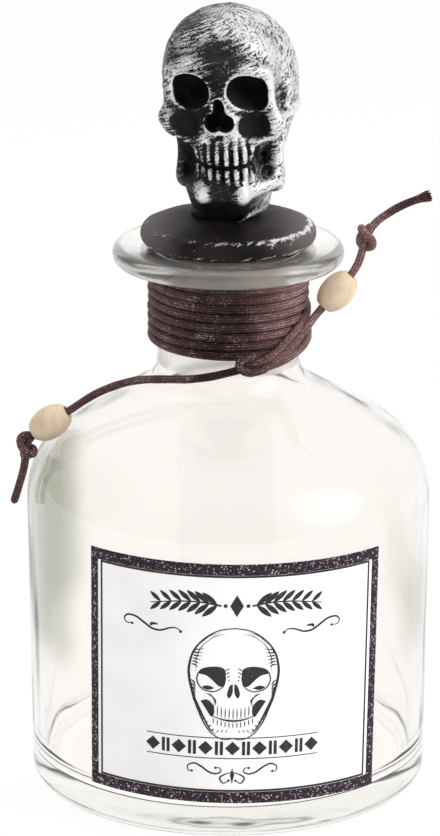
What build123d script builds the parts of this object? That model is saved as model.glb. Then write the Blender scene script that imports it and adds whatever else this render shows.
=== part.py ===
from build123d import *
import os
from math import cos, hypot, pi, radians, sin, sqrt, tan

# A glass apothecary bottle with a cord-bound neck and a cast skull stopper.
# Millimetres. The origin is the centre of the foot on the table, +Z is up, and -Y is the labelled front.

# Glass body
body_base_r = 51.0          # outer radius just above the foot
shoulder_r = 51.8           # outer radius where the shoulder starts, as the mould tapers a little
shoulder_z = 75.5           # height where the shoulder starts
shoulder_arc_r = 23.5       # big outer radius of the shoulder
shoulder_slope = 29.5       # slope of the shoulder's straight part, in degrees above the horizontal
base_corner_r = 4.0         # outer radius between the wall and the foot
foot_width = 6.0            # flat ring that touches the table
punt_depth = 1.6            # hollow under the base
wall = 3.0                  # glass wall of the body
floor_thickness = 7.0       # heavy base
floor_corner_r = 6.0        # inner radius between the wall and the floor
floor_hump = 1.2            # rise of the inner floor at the middle

# Neck and lip
neck_r = 18.2
neck_fillet_r = 7.0         # outer sweep from the shoulder into the neck
neck_wall = 3.2
lip_r = 29.4
lip_thickness = 5.0
lip_edge_r = 2.3            # rounding of the lip's rim, above and below
lip_root_r = 1.2            # fillet under the lip
mouth_r = 1.4               # rounding of the bore's mouth
lip_top_z = 142.5

# Cork, disc and skull of the stopper
cork_clearance = 0.12       # radial gap between the cork's wide end and the bore
cork_length = 23.0
cork_taper = 0.8            # how much the cork's radius shrinks over its length
cork_chamfer = 1.0
disc_r = 22.3
disc_edge_z = 5.4           # thickness of the disc at its rounded edge
disc_edge_r = 2.5
disc_dome = 1.0             # extra height of the disc's middle
disc_flat_r = 12.5          # flat middle of the disc that the skull stands on
disc_spigot_r = 5.0         # cast stem under the disc, glued into the cork
disc_spigot_length = 9.0
skull_spigot_r = 4.0        # cast stem under the skull, glued into the disc
skull_spigot_length = 4.0
glue_gap = 0.05             # glue film round and under each cast stem
skull_w = 35.4              # width across the cranium
skull_d = 42.0              # depth from the brow to the back of the head
skull_h = 54.4              # height from the disc to the crown
skull_turn = 11.0           # how far the face is turned to the left as seen from the front, in degrees
skull_shift = 0.6           # how far the skull stands to the right of the disc's centre

# Label
label_w = 78.6              # measured along the curved paper
label_h = 63.8
label_z = 42.2              # height of the label's middle
label_turn = 2.0            # how far the label's middle is turned to the right of the front, in degrees
label_tilt = 0.9            # how far the label's right side hangs down, in degrees
paper = 0.15
glue_film = 0.03            # between the paper and the glass
frame_width = 2.4           # glittered band along the label's edges
frame_height = 0.25         # how far the glitter stands out from the paper
frame_inset = 0.2           # bare paper outside the band
inner_line_gap = 0.5        # between the band and the thin line inside it
inner_line_width = 0.4

# Cord and beads
cord_d = 2.0
turn_gap = 0.42             # least gap between neighbouring turns
turns = 7.5                 # turns of the winding round the neck
winding_clearance = 0.15    # between the cord and the neck
winding_top_gap = 0.35      # between the top turn and the lip
winding_start = 14.0        # where the winding starts, in degrees from the front, to the right
knot_gap = 0.65             # between the wraps of a knot, along the cord inside them
knot_wraps = 1.5            # wraps of the knot near each tail's end
knot_clearance = 0.15       # between a knot's wraps and the cord inside them
neck_knot_wraps = 1.5
knot_core_r = 1.7           # middle radius of the neck knot's wraps, which squeeze the cord inside
bead_length = 10.6
bead_d = 8.4
bead_end_d = 4.8            # flat round each end of a bead's hole
bead_hole_d = 3.0

# Sampling and cutting
overrun = 1.0
samples = 24                # points on each arc of the winding, for its printed gap

# Shares of the skull's width, depth and height. A row is centre x, y, z and half-sizes x, y, z.
# The face looks along -Y, and rows with "both" are mirrored to the other side.
skull_shares = {
    "cranium": (0.0, 0.07, 0.64, 0.5, 0.49, 0.36),
    "forehead": (0.0, -0.2, 0.71, 0.4, 0.25, 0.21),
    "brow": (0.0, -0.33, 0.765, 0.36, 0.115, 0.06),
    "face": (0.0, -0.24, 0.45, 0.29, 0.19, 0.24),
    "teeth_bone": (0.0, -0.25, 0.35, 0.235, 0.175, 0.14),
    "chin": (0.0, -0.27, 0.175, 0.24, 0.145, 0.115),
    "skull_base": (0.0, 0.08, 0.3, 0.31, 0.31, 0.27),
    "neck_root": (0.0, 0.0, 0.1, 0.27, 0.24, 0.16),
}
skull_both_shares = {
    "cheek": (0.34, -0.235, 0.53, 0.135, 0.15, 0.085),
    "cheek_arch": (0.445, -0.03, 0.53, 0.055, 0.22, 0.05),
    "jaw_side": (0.26, -0.08, 0.215, 0.11, 0.24, 0.125),
    "jaw_upright": (0.33, 0.06, 0.35, 0.085, 0.12, 0.2),
}
skull_cut_shares = {
    "nose_top": (0.0, -0.46, 0.6, 0.05, 0.13, 0.075),
}
skull_cut_both_shares = {
    "eye": (0.212, -0.42, 0.675, 0.138, 0.2, 0.086),
    "nose_side": (0.045, -0.45, 0.54, 0.06, 0.12, 0.058),
    "temple": (0.56, -0.19, 0.69, 0.12, 0.18, 0.125),
    "under_cheek": (0.4, -0.2, 0.4, 0.12, 0.15, 0.085),
}
tooth_count = 10
tooth_arch_shares = (0.0, -0.27, 0.235, 0.185)      # arch centre x, y and half-sizes x, y
tooth_step = 14.0                                   # degrees between teeth along the arch
upper_tooth_shares = (0.375, 0.032, 0.03, 0.05)     # centre z and half-sizes x, y, z
lower_tooth_shares = (0.285, 0.029, 0.028, 0.042)

# Routes of the cord's free stretches, each point as placed by hand
left_route = [
    (5.6, -21.9, 116.1),
    (-0.6, -22.4, 114.3),
    (-8.7, -20.6, 112.3),
    (-16.2, -17.3, 111.4),
    (-22.9, -13.6, 110.2),
    (-28.8, -11.0, 107.8),
    (-34.4, -9.2, 104.8),
    (-40.6, -8.2, 100.1),
    (-51.6, -7.4, 92.9),
    (-51.7, -9.2, 86.8),
    (-53.2, -10.0, 81.4),
    (-54.9, -10.4, 76.1),
]
right_route = [
    (4.6, -21.0, 118.0),
    (9.9, -21.2, 118.3),
    (14.9, -18.0, 120.6),
    (18.3, -13.2, 123.2),
    (22.6, -7.8, 126.2),
    (32.4, -6.5, 136.9),
    (34.1, -6.0, 143.0),
    (35.9, -6.0, 148.4),
    (41.0, -6.5, 152.4),
    (45.8, -7.0, 155.0),
    (50.1, -7.5, 156.5),
]
strand_route = [
    (4.2, -23.3, 113.9),
    (9.0, -22.2, 114.3),
    (14.0, -19.3, 115.5),
    (18.2, -14.6, 117.0),
    (20.9, -8.6, 118.4),
    (22.0, -2.4, 119.6),
    (20.6, 3.4, 120.6),
    (18.4, 8.6, 121.5),
]
left_bead_run = 7           # the route's run that a bead sits on, and how far along it
left_bead_share = 0.43
left_knot_run = 8
left_knot_share = 0.6
right_bead_run = 4
right_bead_share = 0.5
right_knot_run = 6
right_knot_share = 0.35
arc_share = 0.45            # of the shorter run, taken by each arc

neck_knot_share = 0.2       # how far along the left route's first run the neck knot sits

lip_low_z = lip_top_z - lip_thickness
bore_r = neck_r - neck_wall
cord_r = cord_d / 2
disc_top_z = lip_top_z + disc_edge_z + disc_dome
pitch = cord_d + turn_gap


def outline(points_and_arcs):
    """A closed face in the XZ plane from a list of edges given as functions' results."""
    wire = Wire(points_and_arcs)
    return Face(wire)


def line(a, b):
    return Edge.make_line((a[0], 0, a[1]), (b[0], 0, b[1]))


def arc(a, mid, b):
    return Edge.make_three_point_arc((a[0], 0, a[1]), (mid[0], 0, mid[1]), (b[0], 0, b[1]))


def on_circle(centre, radius, angle):
    """The point at that angle, in degrees from the outward direction towards up."""
    return (centre[0] + radius * cos(radians(angle)), centre[1] + radius * sin(radians(angle)))


def dome(edge_r, edge_z, rise):
    """A shallow dome's outline from its rim up to the axis, on a circle centred on the axis."""
    ball_r = (edge_r**2 + rise**2) / (2 * rise)
    mid_r = edge_r / 2
    mid_z = edge_z + rise - ball_r + sqrt(ball_r**2 - mid_r**2)
    return arc((edge_r, edge_z), (mid_r, mid_z), (0, edge_z + rise))


def turned(profile):
    return Solid.revolve(profile, 360, Axis.Z)


def shoulder(start, top_r, arc_r, slope, fillet_r):
    """Edges from start, where the wall ends, over the shoulder to the neck, and the point they end at."""
    centre = (start[0] - arc_r, start[1])
    arc_end = on_circle(centre, arc_r, 90 - slope)
    arc_mid = on_circle(centre, arc_r, (90 - slope) / 2)
    fillet_centre_r = top_r + fillet_r
    fillet_start_r = fillet_centre_r - fillet_r * sin(radians(slope))
    along = (arc_end[0] - fillet_start_r) / cos(radians(slope))
    fillet_start = (fillet_start_r, arc_end[1] + along * sin(radians(slope)))
    fillet_centre = (fillet_centre_r, fillet_start[1] + fillet_r * cos(radians(slope)))
    fillet_mid = on_circle(fillet_centre, fillet_r, 180 + (90 - slope) / 2)
    fillet_end = (top_r, fillet_centre[1])
    edges = [
        arc(start, arc_mid, arc_end),
        line(arc_end, fillet_start),
        arc(fillet_start, fillet_mid, fillet_end),
    ]
    return edges, fillet_end


def glass_bottle():
    foot_out = (body_base_r - base_corner_r, 0)
    foot_in = (foot_out[0] - foot_width, 0)
    punt_top = (0, punt_depth)
    wall_low = (body_base_r, base_corner_r)
    corner_mid = on_circle((foot_out[0], base_corner_r), base_corner_r, -45)
    wall_high = (shoulder_r, shoulder_z)
    outer, neck_low = shoulder(wall_high, neck_r, shoulder_arc_r, shoulder_slope, neck_fillet_r)
    root_low = (neck_r, lip_low_z - lip_root_r)
    root_out = (neck_r + lip_root_r, lip_low_z)
    root_mid = on_circle((neck_r + lip_root_r, lip_low_z - lip_root_r), lip_root_r, 135)
    under_out = (lip_r - lip_edge_r, lip_low_z)
    edge_low = (lip_r, lip_low_z + lip_edge_r)
    edge_low_mid = on_circle((under_out[0], edge_low[1]), lip_edge_r, -45)
    edge_high = (lip_r, lip_top_z - lip_edge_r)
    top_out = (lip_r - lip_edge_r, lip_top_z)
    edge_high_mid = on_circle((top_out[0], edge_high[1]), lip_edge_r, 45)
    top_in = (bore_r + mouth_r, lip_top_z)
    mouth_low = (bore_r, lip_top_z - mouth_r)
    mouth_mid = on_circle((top_in[0], mouth_low[1]), mouth_r, 135)
    inner_high = (shoulder_r - wall, shoulder_z)
    inner, bore_low = shoulder(
        inner_high, bore_r, shoulder_arc_r - wall, shoulder_slope, neck_fillet_r + wall
    )
    inner_low = (body_base_r - wall, floor_thickness + floor_corner_r)
    floor_out = (inner_low[0] - floor_corner_r, floor_thickness)
    floor_corner_mid = on_circle((floor_out[0], inner_low[1]), floor_corner_r, -45)
    floor_top = (0, floor_thickness + floor_hump)
    edges = [
        dome(foot_in[0], 0, punt_depth),
        line(foot_in, foot_out),
        arc(foot_out, corner_mid, wall_low),
        line(wall_low, wall_high),
        *outer,
        line(neck_low, root_low),
        arc(root_low, root_mid, root_out),
        line(root_out, under_out),
        arc(under_out, edge_low_mid, edge_low),
        line(edge_low, edge_high),
        arc(edge_high, edge_high_mid, top_out),
        line(top_out, top_in),
        arc(top_in, mouth_mid, mouth_low),
        line(mouth_low, bore_low),
        *inner,
        line(inner_high, inner_low),
        arc(inner_low, floor_corner_mid, floor_out),
        dome(floor_out[0], floor_thickness, floor_hump),
        line(floor_top, punt_top),
    ]
    return turned(outline(edges))


def wall_r(z):
    """Outer radius of the glass wall at a height below the shoulder."""
    share = (z - base_corner_r) / (shoulder_z - base_corner_r)
    return body_base_r + (shoulder_r - body_base_r) * share


def shell_on_wall(lift, thickness):
    """A half ring of even thickness that lies on the front of the glass wall."""
    low_z, high_z = base_corner_r, shoulder_z
    inner_low = (wall_r(low_z) + lift, low_z)
    inner_high = (wall_r(high_z) + lift, high_z)
    outer_high = (inner_high[0] + thickness, high_z)
    outer_low = (inner_low[0] + thickness, low_z)
    edges = [
        line(inner_low, outer_low),
        line(outer_low, outer_high),
        line(outer_high, inner_high),
        line(inner_high, inner_low),
    ]
    shell = Solid.revolve(outline(edges), 180, Axis.Z)
    return Rot(0, 0, 180) * shell


def label_window(inset):
    """A block whose sides cut the label's outline, that far inside its edge."""
    half_angle = (label_w / 2 - inset) / wall_r(label_z)
    width = 2 * wall_r(label_z) * sin(half_angle)
    height = label_h - 2 * inset
    depth = max(body_base_r, shoulder_r) + overrun
    block = Pos(0, -depth / 2, 0) * Box(width, depth, height)
    return Pos(0, 0, label_z) * Rot(0, 0, label_turn) * Rot(0, label_tilt, 0) * block


def label_ring(inset, width, lift, height):
    """A closed rectangular band on the label, that far inside its edge."""
    window = label_window(inset) - label_window(inset + width)
    return (shell_on_wall(lift, height) & window).solid()


def label_paper():
    return (shell_on_wall(glue_film, paper) & label_window(0)).solid()


def label_frame():
    lift = glue_film + paper
    band = label_ring(frame_inset, frame_width, lift, frame_height)
    thin = label_ring(frame_inset + frame_width + inner_line_gap, inner_line_width, lift, frame_height)
    return [band, thin]


def cork_plug():
    top_r = bore_r - cork_clearance
    low_r = top_r - cork_taper
    low_z = lip_top_z - cork_length
    hole_r = disc_spigot_r + glue_gap
    hole_z = lip_top_z - disc_spigot_length - glue_gap
    edges = [
        line((0, low_z), (low_r - cork_chamfer, low_z)),
        line((low_r - cork_chamfer, low_z), (low_r, low_z + cork_chamfer)),
        line((low_r, low_z + cork_chamfer), (top_r, lip_top_z)),
        line((top_r, lip_top_z), (hole_r, lip_top_z)),
        line((hole_r, lip_top_z), (hole_r, hole_z)),
        line((hole_r, hole_z), (0, hole_z)),
        line((0, hole_z), (0, low_z)),
    ]
    return turned(outline(edges))


def stopper_disc():
    edge_high_z = lip_top_z + disc_edge_z
    low_out = (disc_r - disc_edge_r, lip_top_z)
    low_side = (disc_r, lip_top_z + disc_edge_r)
    low_mid = on_circle((low_out[0], low_side[1]), disc_edge_r, -45)
    high_side = (disc_r, edge_high_z - disc_edge_r)
    high_in = (disc_r - disc_edge_r, edge_high_z)
    high_mid = on_circle((high_in[0], high_side[1]), disc_edge_r, 45)
    hole_r = skull_spigot_r + glue_gap
    flat_out = (disc_flat_r, disc_top_z)
    dome_mid = ((high_in[0] + disc_flat_r) / 2, edge_high_z + disc_dome * 2 / 3)
    hole_z = disc_top_z - skull_spigot_length - glue_gap
    spigot_z = lip_top_z - disc_spigot_length
    edges = [
        line((0, spigot_z), (disc_spigot_r, spigot_z)),
        line((disc_spigot_r, spigot_z), (disc_spigot_r, lip_top_z)),
        line((disc_spigot_r, lip_top_z), low_out),
        arc(low_out, low_mid, low_side),
        line(low_side, high_side),
        arc(high_side, high_mid, high_in),
        arc(high_in, dome_mid, flat_out),
        line(flat_out, (hole_r, disc_top_z)),
        line((hole_r, disc_top_z), (hole_r, hole_z)),
        line((hole_r, hole_z), (0, hole_z)),
        line((0, hole_z), (0, spigot_z)),
    ]
    return turned(outline(edges))


def blob(row):
    """An ellipsoid from a row of shares of the skull's size."""
    x, y, z, a, b, c = row
    ball = scale(Sphere(1), by=(a * skull_w, b * skull_d, c * skull_h))
    return Pos(x * skull_w, y * skull_d, z * skull_h) * ball


def mirrored(row):
    return (-row[0], *row[1:])


def teeth(shares, skip_ends=0):
    """One row of teeth along the dental arch."""
    z, half_x, half_y, half_z = shares
    arch_x, arch_y, arch_half_x, arch_half_y = tooth_arch_shares
    row = []
    for number in range(skip_ends, tooth_count - skip_ends):
        angle = (number - (tooth_count - 1) / 2) * tooth_step
        x = arch_x + arch_half_x * sin(radians(angle))
        y = arch_y - arch_half_y * cos(radians(angle))
        tooth = scale(Sphere(1), by=(half_x * skull_w, half_y * skull_d, half_z * skull_h))
        tooth = Rot(0, 0, angle) * tooth
        row.append(Pos(x * skull_w, y * skull_d, z * skull_h) * tooth)
    return row


def skull_finial():
    solids = [blob(row) for row in skull_shares.values()]
    for row in skull_both_shares.values():
        solids += [blob(row), blob(mirrored(row))]
    cuts = [blob(row) for row in skull_cut_shares.values()]
    for row in skull_cut_both_shares.values():
        cuts += [blob(row), blob(mirrored(row))]
    bone = solids[0].fuse(*solids[1:])
    bone = bone.cut(*cuts)
    bone = bone.fuse(*teeth(upper_tooth_shares), *teeth(lower_tooth_shares, 1))
    bone = Pos(skull_shift, 0, disc_top_z) * Rot(0, 0, -skull_turn) * bone
    underside = disc_top_z - skull_h
    bone = bone - Pos(0, 0, underside / 2 + disc_top_z / 2) * Box(2 * skull_w, 2 * skull_d, skull_h)
    spigot_z = disc_top_z - skull_spigot_length
    length = skull_spigot_length + overrun
    spigot = Pos(0, 0, spigot_z + length / 2) * Cylinder(skull_spigot_r, length)
    return (bone + spigot).solid()


def helix_tube(centre_r, rise, turn_count, start_angle, end_run):
    """A cord wound round the Z axis from height 0, as half turns of two tangent arcs each."""
    half_turns = round(2 * turn_count)
    slope = rise / (2 * pi * centre_r)
    norm = hypot(1, slope)

    def point(half):
        angle = radians(start_angle) - pi * half
        return Vector(centre_r * cos(angle), centre_r * sin(angle), rise * half / 2)

    def heading(half):
        angle = radians(start_angle) - pi * half
        return Vector(sin(angle) / norm, -cos(angle) / norm, slope / norm)

    edges = [Edge.make_line(point(0) - heading(0) * end_run, point(0))]
    for half in range(half_turns):
        start, end = point(half), point(half + 1)
        leave, arrive = heading(half), heading(half + 1)
        across = end - start
        both = leave + arrive
        a = both.dot(both) - 4
        b = -2 * across.dot(both)
        c = across.dot(across)
        reach = (-b - sqrt(b * b - 4 * a * c)) / (2 * a)
        corner_1 = start + leave * reach
        corner_2 = end - arrive * reach
        joint = (corner_1 + corner_2) / 2
        through = (corner_2 - corner_1).normalized()
        edges.append(Edge.make_tangent_arc(start, leave, joint))
        edges.append(Edge.make_tangent_arc(joint, through, end))
    edges.append(Edge.make_line(point(half_turns), point(half_turns) + heading(half_turns) * end_run))
    path = Wire(edges)
    section = Plane(origin=edges[0] @ 0, z_dir=heading(0)) * Circle(cord_r)
    return sweep(section, path=path), path


def least_gap(path, loop_length):
    """The least gap between a cord's own turns, measured on points along its middle."""
    count = max(2, round(path.length / loop_length * samples))
    points = [path.position_at(n / (count - 1)) for n in range(count)]
    skip = round(samples / 2)
    least = min(
        (points[i] - points[j]).length
        for i in range(count)
        for j in range(i + skip, count)
    )
    return least - cord_d


def neck_winding():
    centre_r = neck_r + winding_clearance + cord_r
    top_z = lip_low_z - winding_top_gap - cord_r
    low_z = top_z - turns * pitch
    tube, path = helix_tube(centre_r, pitch, turns, winding_start - 90, cord_d)
    print("neck_winding least gap", round(least_gap(path, 2 * pi * centre_r), 3))
    return Pos(0, 0, low_z) * tube


def route_tube(name, route):
    """A tube along straight runs joined by the largest arcs that the runs allow."""
    points = [Vector(*p) for p in route]
    runs = [(b - a) for a, b in zip(points, points[1:])]
    radii = []
    for before, after in zip(runs, runs[1:]):
        half_turn = radians(before.get_angle(after)) / 2
        radii.append(arc_share * min(before.length, after.length) / tan(half_turn))
    path = FilletPolyline(*points, radius=radii)
    section = Plane(origin=points[0], z_dir=runs[0]) * Circle(cord_r)
    tube = sweep(section, path=path)
    print(
        name, "radii", [round(r, 1) for r in radii],
        "length", round(path.length, 1),
        "volume over section times length", round(tube.volume / (pi * cord_r**2 * path.length), 4),
    )
    return tube


def along(route, run, share):
    """A frame on a route's run whose Z axis points along the cord."""
    start, end = Vector(*route[run]), Vector(*route[run + 1])
    return Plane(origin=start + (end - start) * share, z_dir=end - start)


def cord_wraps(name, centre_r, wraps, frame):
    """Wraps of cord round a stretch of cord, as one knot."""
    rise = cord_d + knot_gap
    tube, path = helix_tube(centre_r, rise, wraps, 0, cord_r)
    print(name, "least gap", round(least_gap(path, 2 * pi * centre_r), 3))
    return frame.location * (Pos(0, 0, -rise * wraps / 2) * tube)


def bead(frame):
    hole_r = bead_hole_d / 2
    half = bead_length / 2
    edges = [
        line((hole_r, -half), (bead_end_d / 2, -half)),
        arc((bead_end_d / 2, -half), (bead_d / 2, 0), (bead_end_d / 2, half)),
        line((bead_end_d / 2, half), (hole_r, half)),
        line((hole_r, half), (hole_r, -half)),
    ]
    return frame.location * turned(outline(edges))


def write(name, shape):
    if isinstance(shape, list):
        shape = Compound(shape)
    export_step(shape, f"parts/{name}.step")


def write_cord():
    write("neck_winding", neck_winding())
    write("neck_strand", route_tube("neck_strand", strand_route))
    neck_knot_frame = along(left_route, 0, neck_knot_share)
    write("neck_knot", cord_wraps("neck_knot", knot_core_r, neck_knot_wraps, neck_knot_frame))
    tails = {
        "left": (left_route, left_bead_run, left_bead_share, left_knot_run, left_knot_share),
        "right": (right_route, right_bead_run, right_bead_share, right_knot_run, right_knot_share),
    }
    for side, (route, bead_run, bead_share, knot_run, knot_share) in tails.items():
        write(f"tail_{side}", route_tube(f"tail_{side}", route))
        write(f"bead_{side}", bead(along(route, bead_run, bead_share)))
        name = f"end_knot_{side}"
        knot_frame = along(route, knot_run, knot_share)
        write(name, cord_wraps(name, cord_d + knot_clearance, knot_wraps, knot_frame))


def main():
    os.makedirs("parts", exist_ok=True)
    write("glass_bottle", glass_bottle())
    write("label_paper", label_paper())
    write("label_frame", label_frame())
    write("cork_plug", cork_plug())
    write("stopper_disc", stopper_disc())
    write("skull_finial", skull_finial())
    write_cord()


if __name__ == "__main__":
    main()
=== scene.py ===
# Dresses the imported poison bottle: glass, label, cord, beads, cork and the cast skull stopper.
# Sizes are in millimetres until a mesh or a material is made, which turns them into metres.
import math

import bmesh
import bpy
import numpy as np
from mathutils import Matrix, Vector
from mathutils.geometry import tessellate_polygon


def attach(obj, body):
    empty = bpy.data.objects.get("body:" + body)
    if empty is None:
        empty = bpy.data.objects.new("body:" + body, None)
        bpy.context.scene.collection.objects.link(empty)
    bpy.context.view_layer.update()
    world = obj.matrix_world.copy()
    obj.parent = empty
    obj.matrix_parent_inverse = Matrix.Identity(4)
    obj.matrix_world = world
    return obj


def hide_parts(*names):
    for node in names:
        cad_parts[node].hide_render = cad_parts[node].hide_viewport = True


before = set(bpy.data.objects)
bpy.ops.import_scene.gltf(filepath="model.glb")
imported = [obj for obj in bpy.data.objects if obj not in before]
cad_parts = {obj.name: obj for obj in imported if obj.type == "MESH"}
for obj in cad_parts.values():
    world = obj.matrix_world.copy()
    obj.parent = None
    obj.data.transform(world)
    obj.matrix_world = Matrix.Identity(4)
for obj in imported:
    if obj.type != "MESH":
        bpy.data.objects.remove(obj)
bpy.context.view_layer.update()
MM = 0.001
full_turn = 2 * math.pi

# Glass, as in the source
body_base_r = 51.0
shoulder_r = 51.8
shoulder_z = 75.5
shoulder_arc_r = 23.5
shoulder_slope = 29.5
base_corner_r = 4.0
foot_width = 6.0
punt_depth = 1.6
wall = 3.0
floor_thickness = 7.0
floor_corner_r = 6.0
floor_hump = 1.2
neck_r = 18.2
neck_fillet_r = 7.0
neck_wall = 3.2
lip_r = 29.4
lip_thickness = 5.0
lip_edge_r = 2.3
lip_root_r = 1.2
mouth_r = 1.4
lip_top_z = 142.5
lip_low_z = lip_top_z - lip_thickness
bore_r = neck_r - neck_wall
ground_bore_z = 110.0

# How hazy the glass is, from 0 to 1
inside_haze = 0.22
floor_haze = 0.06
foot_haze = 0.29
lip_haze = 0.5
bore_haze = 1.0

# Stopper
cork_clearance = 0.12
cork_length = 23.0
cork_taper = 0.8
cork_chamfer = 1.0
disc_r = 22.3
disc_edge_z = 5.4
disc_edge_r = 2.5
disc_dome = 1.0
disc_flat_r = 12.5
disc_spigot_r = 5.0
disc_spigot_length = 9.0
glue_gap = 0.05
skull_turn = 11.0
skull_shift = 0.6
disc_top_z = lip_top_z + disc_edge_z + disc_dome

# Label
label_w = 78.6
label_h = 63.8
label_z = 42.2
label_turn = 2.0
label_tilt = 0.9
paper = 0.15
glue_film = 0.03
frame_side_width = 2.1
frame_end_width = 2.9
frame_height = 0.25
frame_inset = 0.05
inner_line_inset = 3.1
inner_line_width = 0.5
inner_line_height = 0.3 * frame_height
paper_step = 1.2
grain_step = 0.4
ink_lift = 0.03
ink_step = 1.0
print_shift = -0.5
scroll_shift = -1.0
scroll_share = 0.955

# Cord
cord_d = 2.0
cord_r = cord_d / 2
turn_gap = 0.42
turns = 7.5
winding_clearance = 0.15
winding_top_gap = 0.35
winding_start = 14.0
hidden_turn = 26.0
pitch = cord_d + turn_gap
cord_tube_r = 1.04
tail_tube_r = 1.03
winding_tube_r = 1.17

# Beads
bead_length = 10.6
bead_d = 8.4
bead_hole_d = 3.0
bead_mouth_width = 0.5
bead_mouth_r = 0.35

# Routes of the cord's free stretches, with the source's points. The right tail's first ones are
# moved a little, and one is added, to follow the doubled strands at the knot.
left_route = [
    (5.6, -21.9, 116.1), (-0.6, -22.4, 114.3), (-8.7, -20.6, 112.3), (-16.2, -17.3, 111.4),
    (-22.9, -13.6, 110.2), (-28.8, -11.0, 107.8), (-34.4, -9.2, 104.8), (-40.6, -8.2, 100.1),
    (-51.6, -7.4, 92.9), (-51.7, -9.2, 86.8), (-53.2, -10.0, 81.4), (-54.9, -10.4, 76.1),
]
right_route = [
    (7.0, -21.9, 114.8), (9.8, -20.9, 115.4), (13.2, -18.8, 117.8), (16.6, -16.0, 120.3),
    (19.4, -12.6, 123.1), (22.6, -7.8, 126.2), (32.4, -6.5, 136.9), (34.1, -6.0, 143.0),
    (35.9, -6.0, 148.4), (41.0, -6.5, 152.4), (45.8, -7.0, 155.0), (50.1, -7.5, 156.5),
]
# The strand that hangs in a bow from the knot, then climbs over the turns to the winding's upper
# end
strand_route = [
    (5.4, -21.4, 115.6), (8.0, -20.6, 115.2), (10.7, -18.8, 115.4), (13.9, -15.8, 115.7),
    (16.5, -12.2, 116.5), (18.6, -8.2, 117.0), (19.9, -4.4, 117.7), (20.4, -0.8, 118.3),
    (20.2, 4.0, 119.4), (18.3, 10.8, 121.8), (12.6, 17.3, 125.6), (5.6, 20.7, 130.4),
    (0.6, 21.3, 134.0), (-2.4, 20.4, 136.0), (-4.9, 18.7, 136.1),
]
# The left tail's other end, which runs up beside the right tail and in among the turns
second_strand_route = [
    (2.6, -22.0, 115.1), (5.6, -21.9, 116.6), (8.4, -21.3, 117.2), (11.4, -19.7, 118.4),
    (14.3, -17.0, 120.7), (17.2, -13.6, 122.9), (19.1, -9.4, 124.6), (20.1, -4.8, 125.7),
    (19.9, 0.6, 126.6), (19.0, 5.6, 127.1),
]
# The right tail's turn back over the left one, which closes the knot
knot_turn_route = [
    (9.2, -21.1, 115.2), (6.8, -22.2, 114.6), (4.6, -23.6, 114.9), (2.6, -24.2, 116.4),
    (2.6, -23.3, 117.6), (4.5, -21.5, 118.1), (7.6, -20.2, 118.1),
]
# The knots at the beads, as offsets from the middle of each. The left one starts with a loop round
# the bead's mouth, and the right one is a fat turn laid across itself.
left_end_knot = [
    (1.6, 0.9, 4.1), (0.1, 0.3, 4.7), (-1.5, -0.4, 3.9), (-1.2, -0.9, 2.0), (-0.3, -1.7, 0.9),
    (0.9, -1.8, 0.0), (2.1, -0.8, -0.2), (2.0, 0.9, 0.8), (0.5, 1.7, 0.8), (-0.5, 1.3, 0.0),
    (-0.5, -0.3, -1.0), (0.4, -0.8, -1.0), (0.8, 0.3, -0.3),
]
right_end_knot = [
    (-0.2, 0.2, -2.2), (0.1, 1.1, -0.8), (-0.2, 1.4, 1.2), (-1.3, 0.6, 3.0), (-1.2, -1.2, 2.6),
    (0.3, -1.9, 1.4), (1.6, -1.7, 0.1), (1.6, -0.5, -2.0), (0.0, 0.9, -2.4), (-1.5, 0.6, -1.5),
    (-1.7, -0.5, 0.5), (-0.8, -0.3, 1.8), (0.5, 0.5, 2.5), (1.3, 0.6, 3.3),
]

# Each tail's route, the run of it that the bead and the knot sit on with the share of that run, the
# knot's turns, the seed of its small unevenness, and how much thicker its frayed end is. An end that
# is no thicker is rounded.
tails = {
    "left": dict(
        route=left_route, bead=(7, 0.43), knot=(8, 0.6), knot_turns=left_end_knot, seed=21, flare=0.0,
    ),
    "right": dict(
        route=right_route, bead=(5, 0.5), knot=(7, 0.35), knot_turns=right_end_knot, seed=22, flare=0.42,
    ),
}


# Shapes and meshes

def hump(places, middle, width):
    """A smooth hump of height 1 round a middle."""
    return np.exp(-((places - middle) / width) ** 2)


def in_scene(name, data):
    """A new object in the scene that holds a mesh, curve, lamp or camera."""
    made = bpy.data.objects.new(name, data)
    bpy.context.scene.collection.objects.link(made)
    return made


def make_piece(name, points, faces, body, slot, material, replaced=()):
    """A smooth mesh object from points in millimetres, riding on a body."""
    mesh = bpy.data.meshes.new(name)
    mesh.from_pydata((np.asarray(points, float) * MM).tolist(), [], faces)
    mesh.update()
    mesh.shade_smooth()
    mesh.materials.append(material)
    piece = in_scene(name, mesh)
    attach(piece, body)
    if replaced:
        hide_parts(*replaced)
    return piece


def store_values(piece, name, values):
    """A number at each vertex, for the piece's material."""
    stored = piece.data.attributes.new(name, "FLOAT", "POINT")
    stored.data.foreach_set("value", np.asarray(values, np.float32))


def arc_points(centre, radius, start, end, steps=8):
    """Points on a circle in the RZ plane between two angles in degrees."""
    angles = np.radians(np.linspace(start, end, steps + 1))
    return [(centre[0] + radius * math.cos(a), centre[1] + radius * math.sin(a)) for a in angles]


def dome_points(edge_r, edge_z, rise, steps=6):
    """A shallow dome from its rim up to the axis."""
    ball_r = (edge_r**2 + rise**2) / (2 * rise)
    radii = np.linspace(edge_r, 0, steps + 1)
    return [(r, edge_z + rise - ball_r + math.sqrt(ball_r**2 - r**2)) for r in radii]


def tidy_profile(points):
    """The points without those that repeat their neighbour."""
    nearest = 1e-4
    kept = [points[0]]
    for point in points[1:]:
        if math.dist(point, kept[-1]) > nearest:
            kept.append(point)
    return kept


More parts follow.
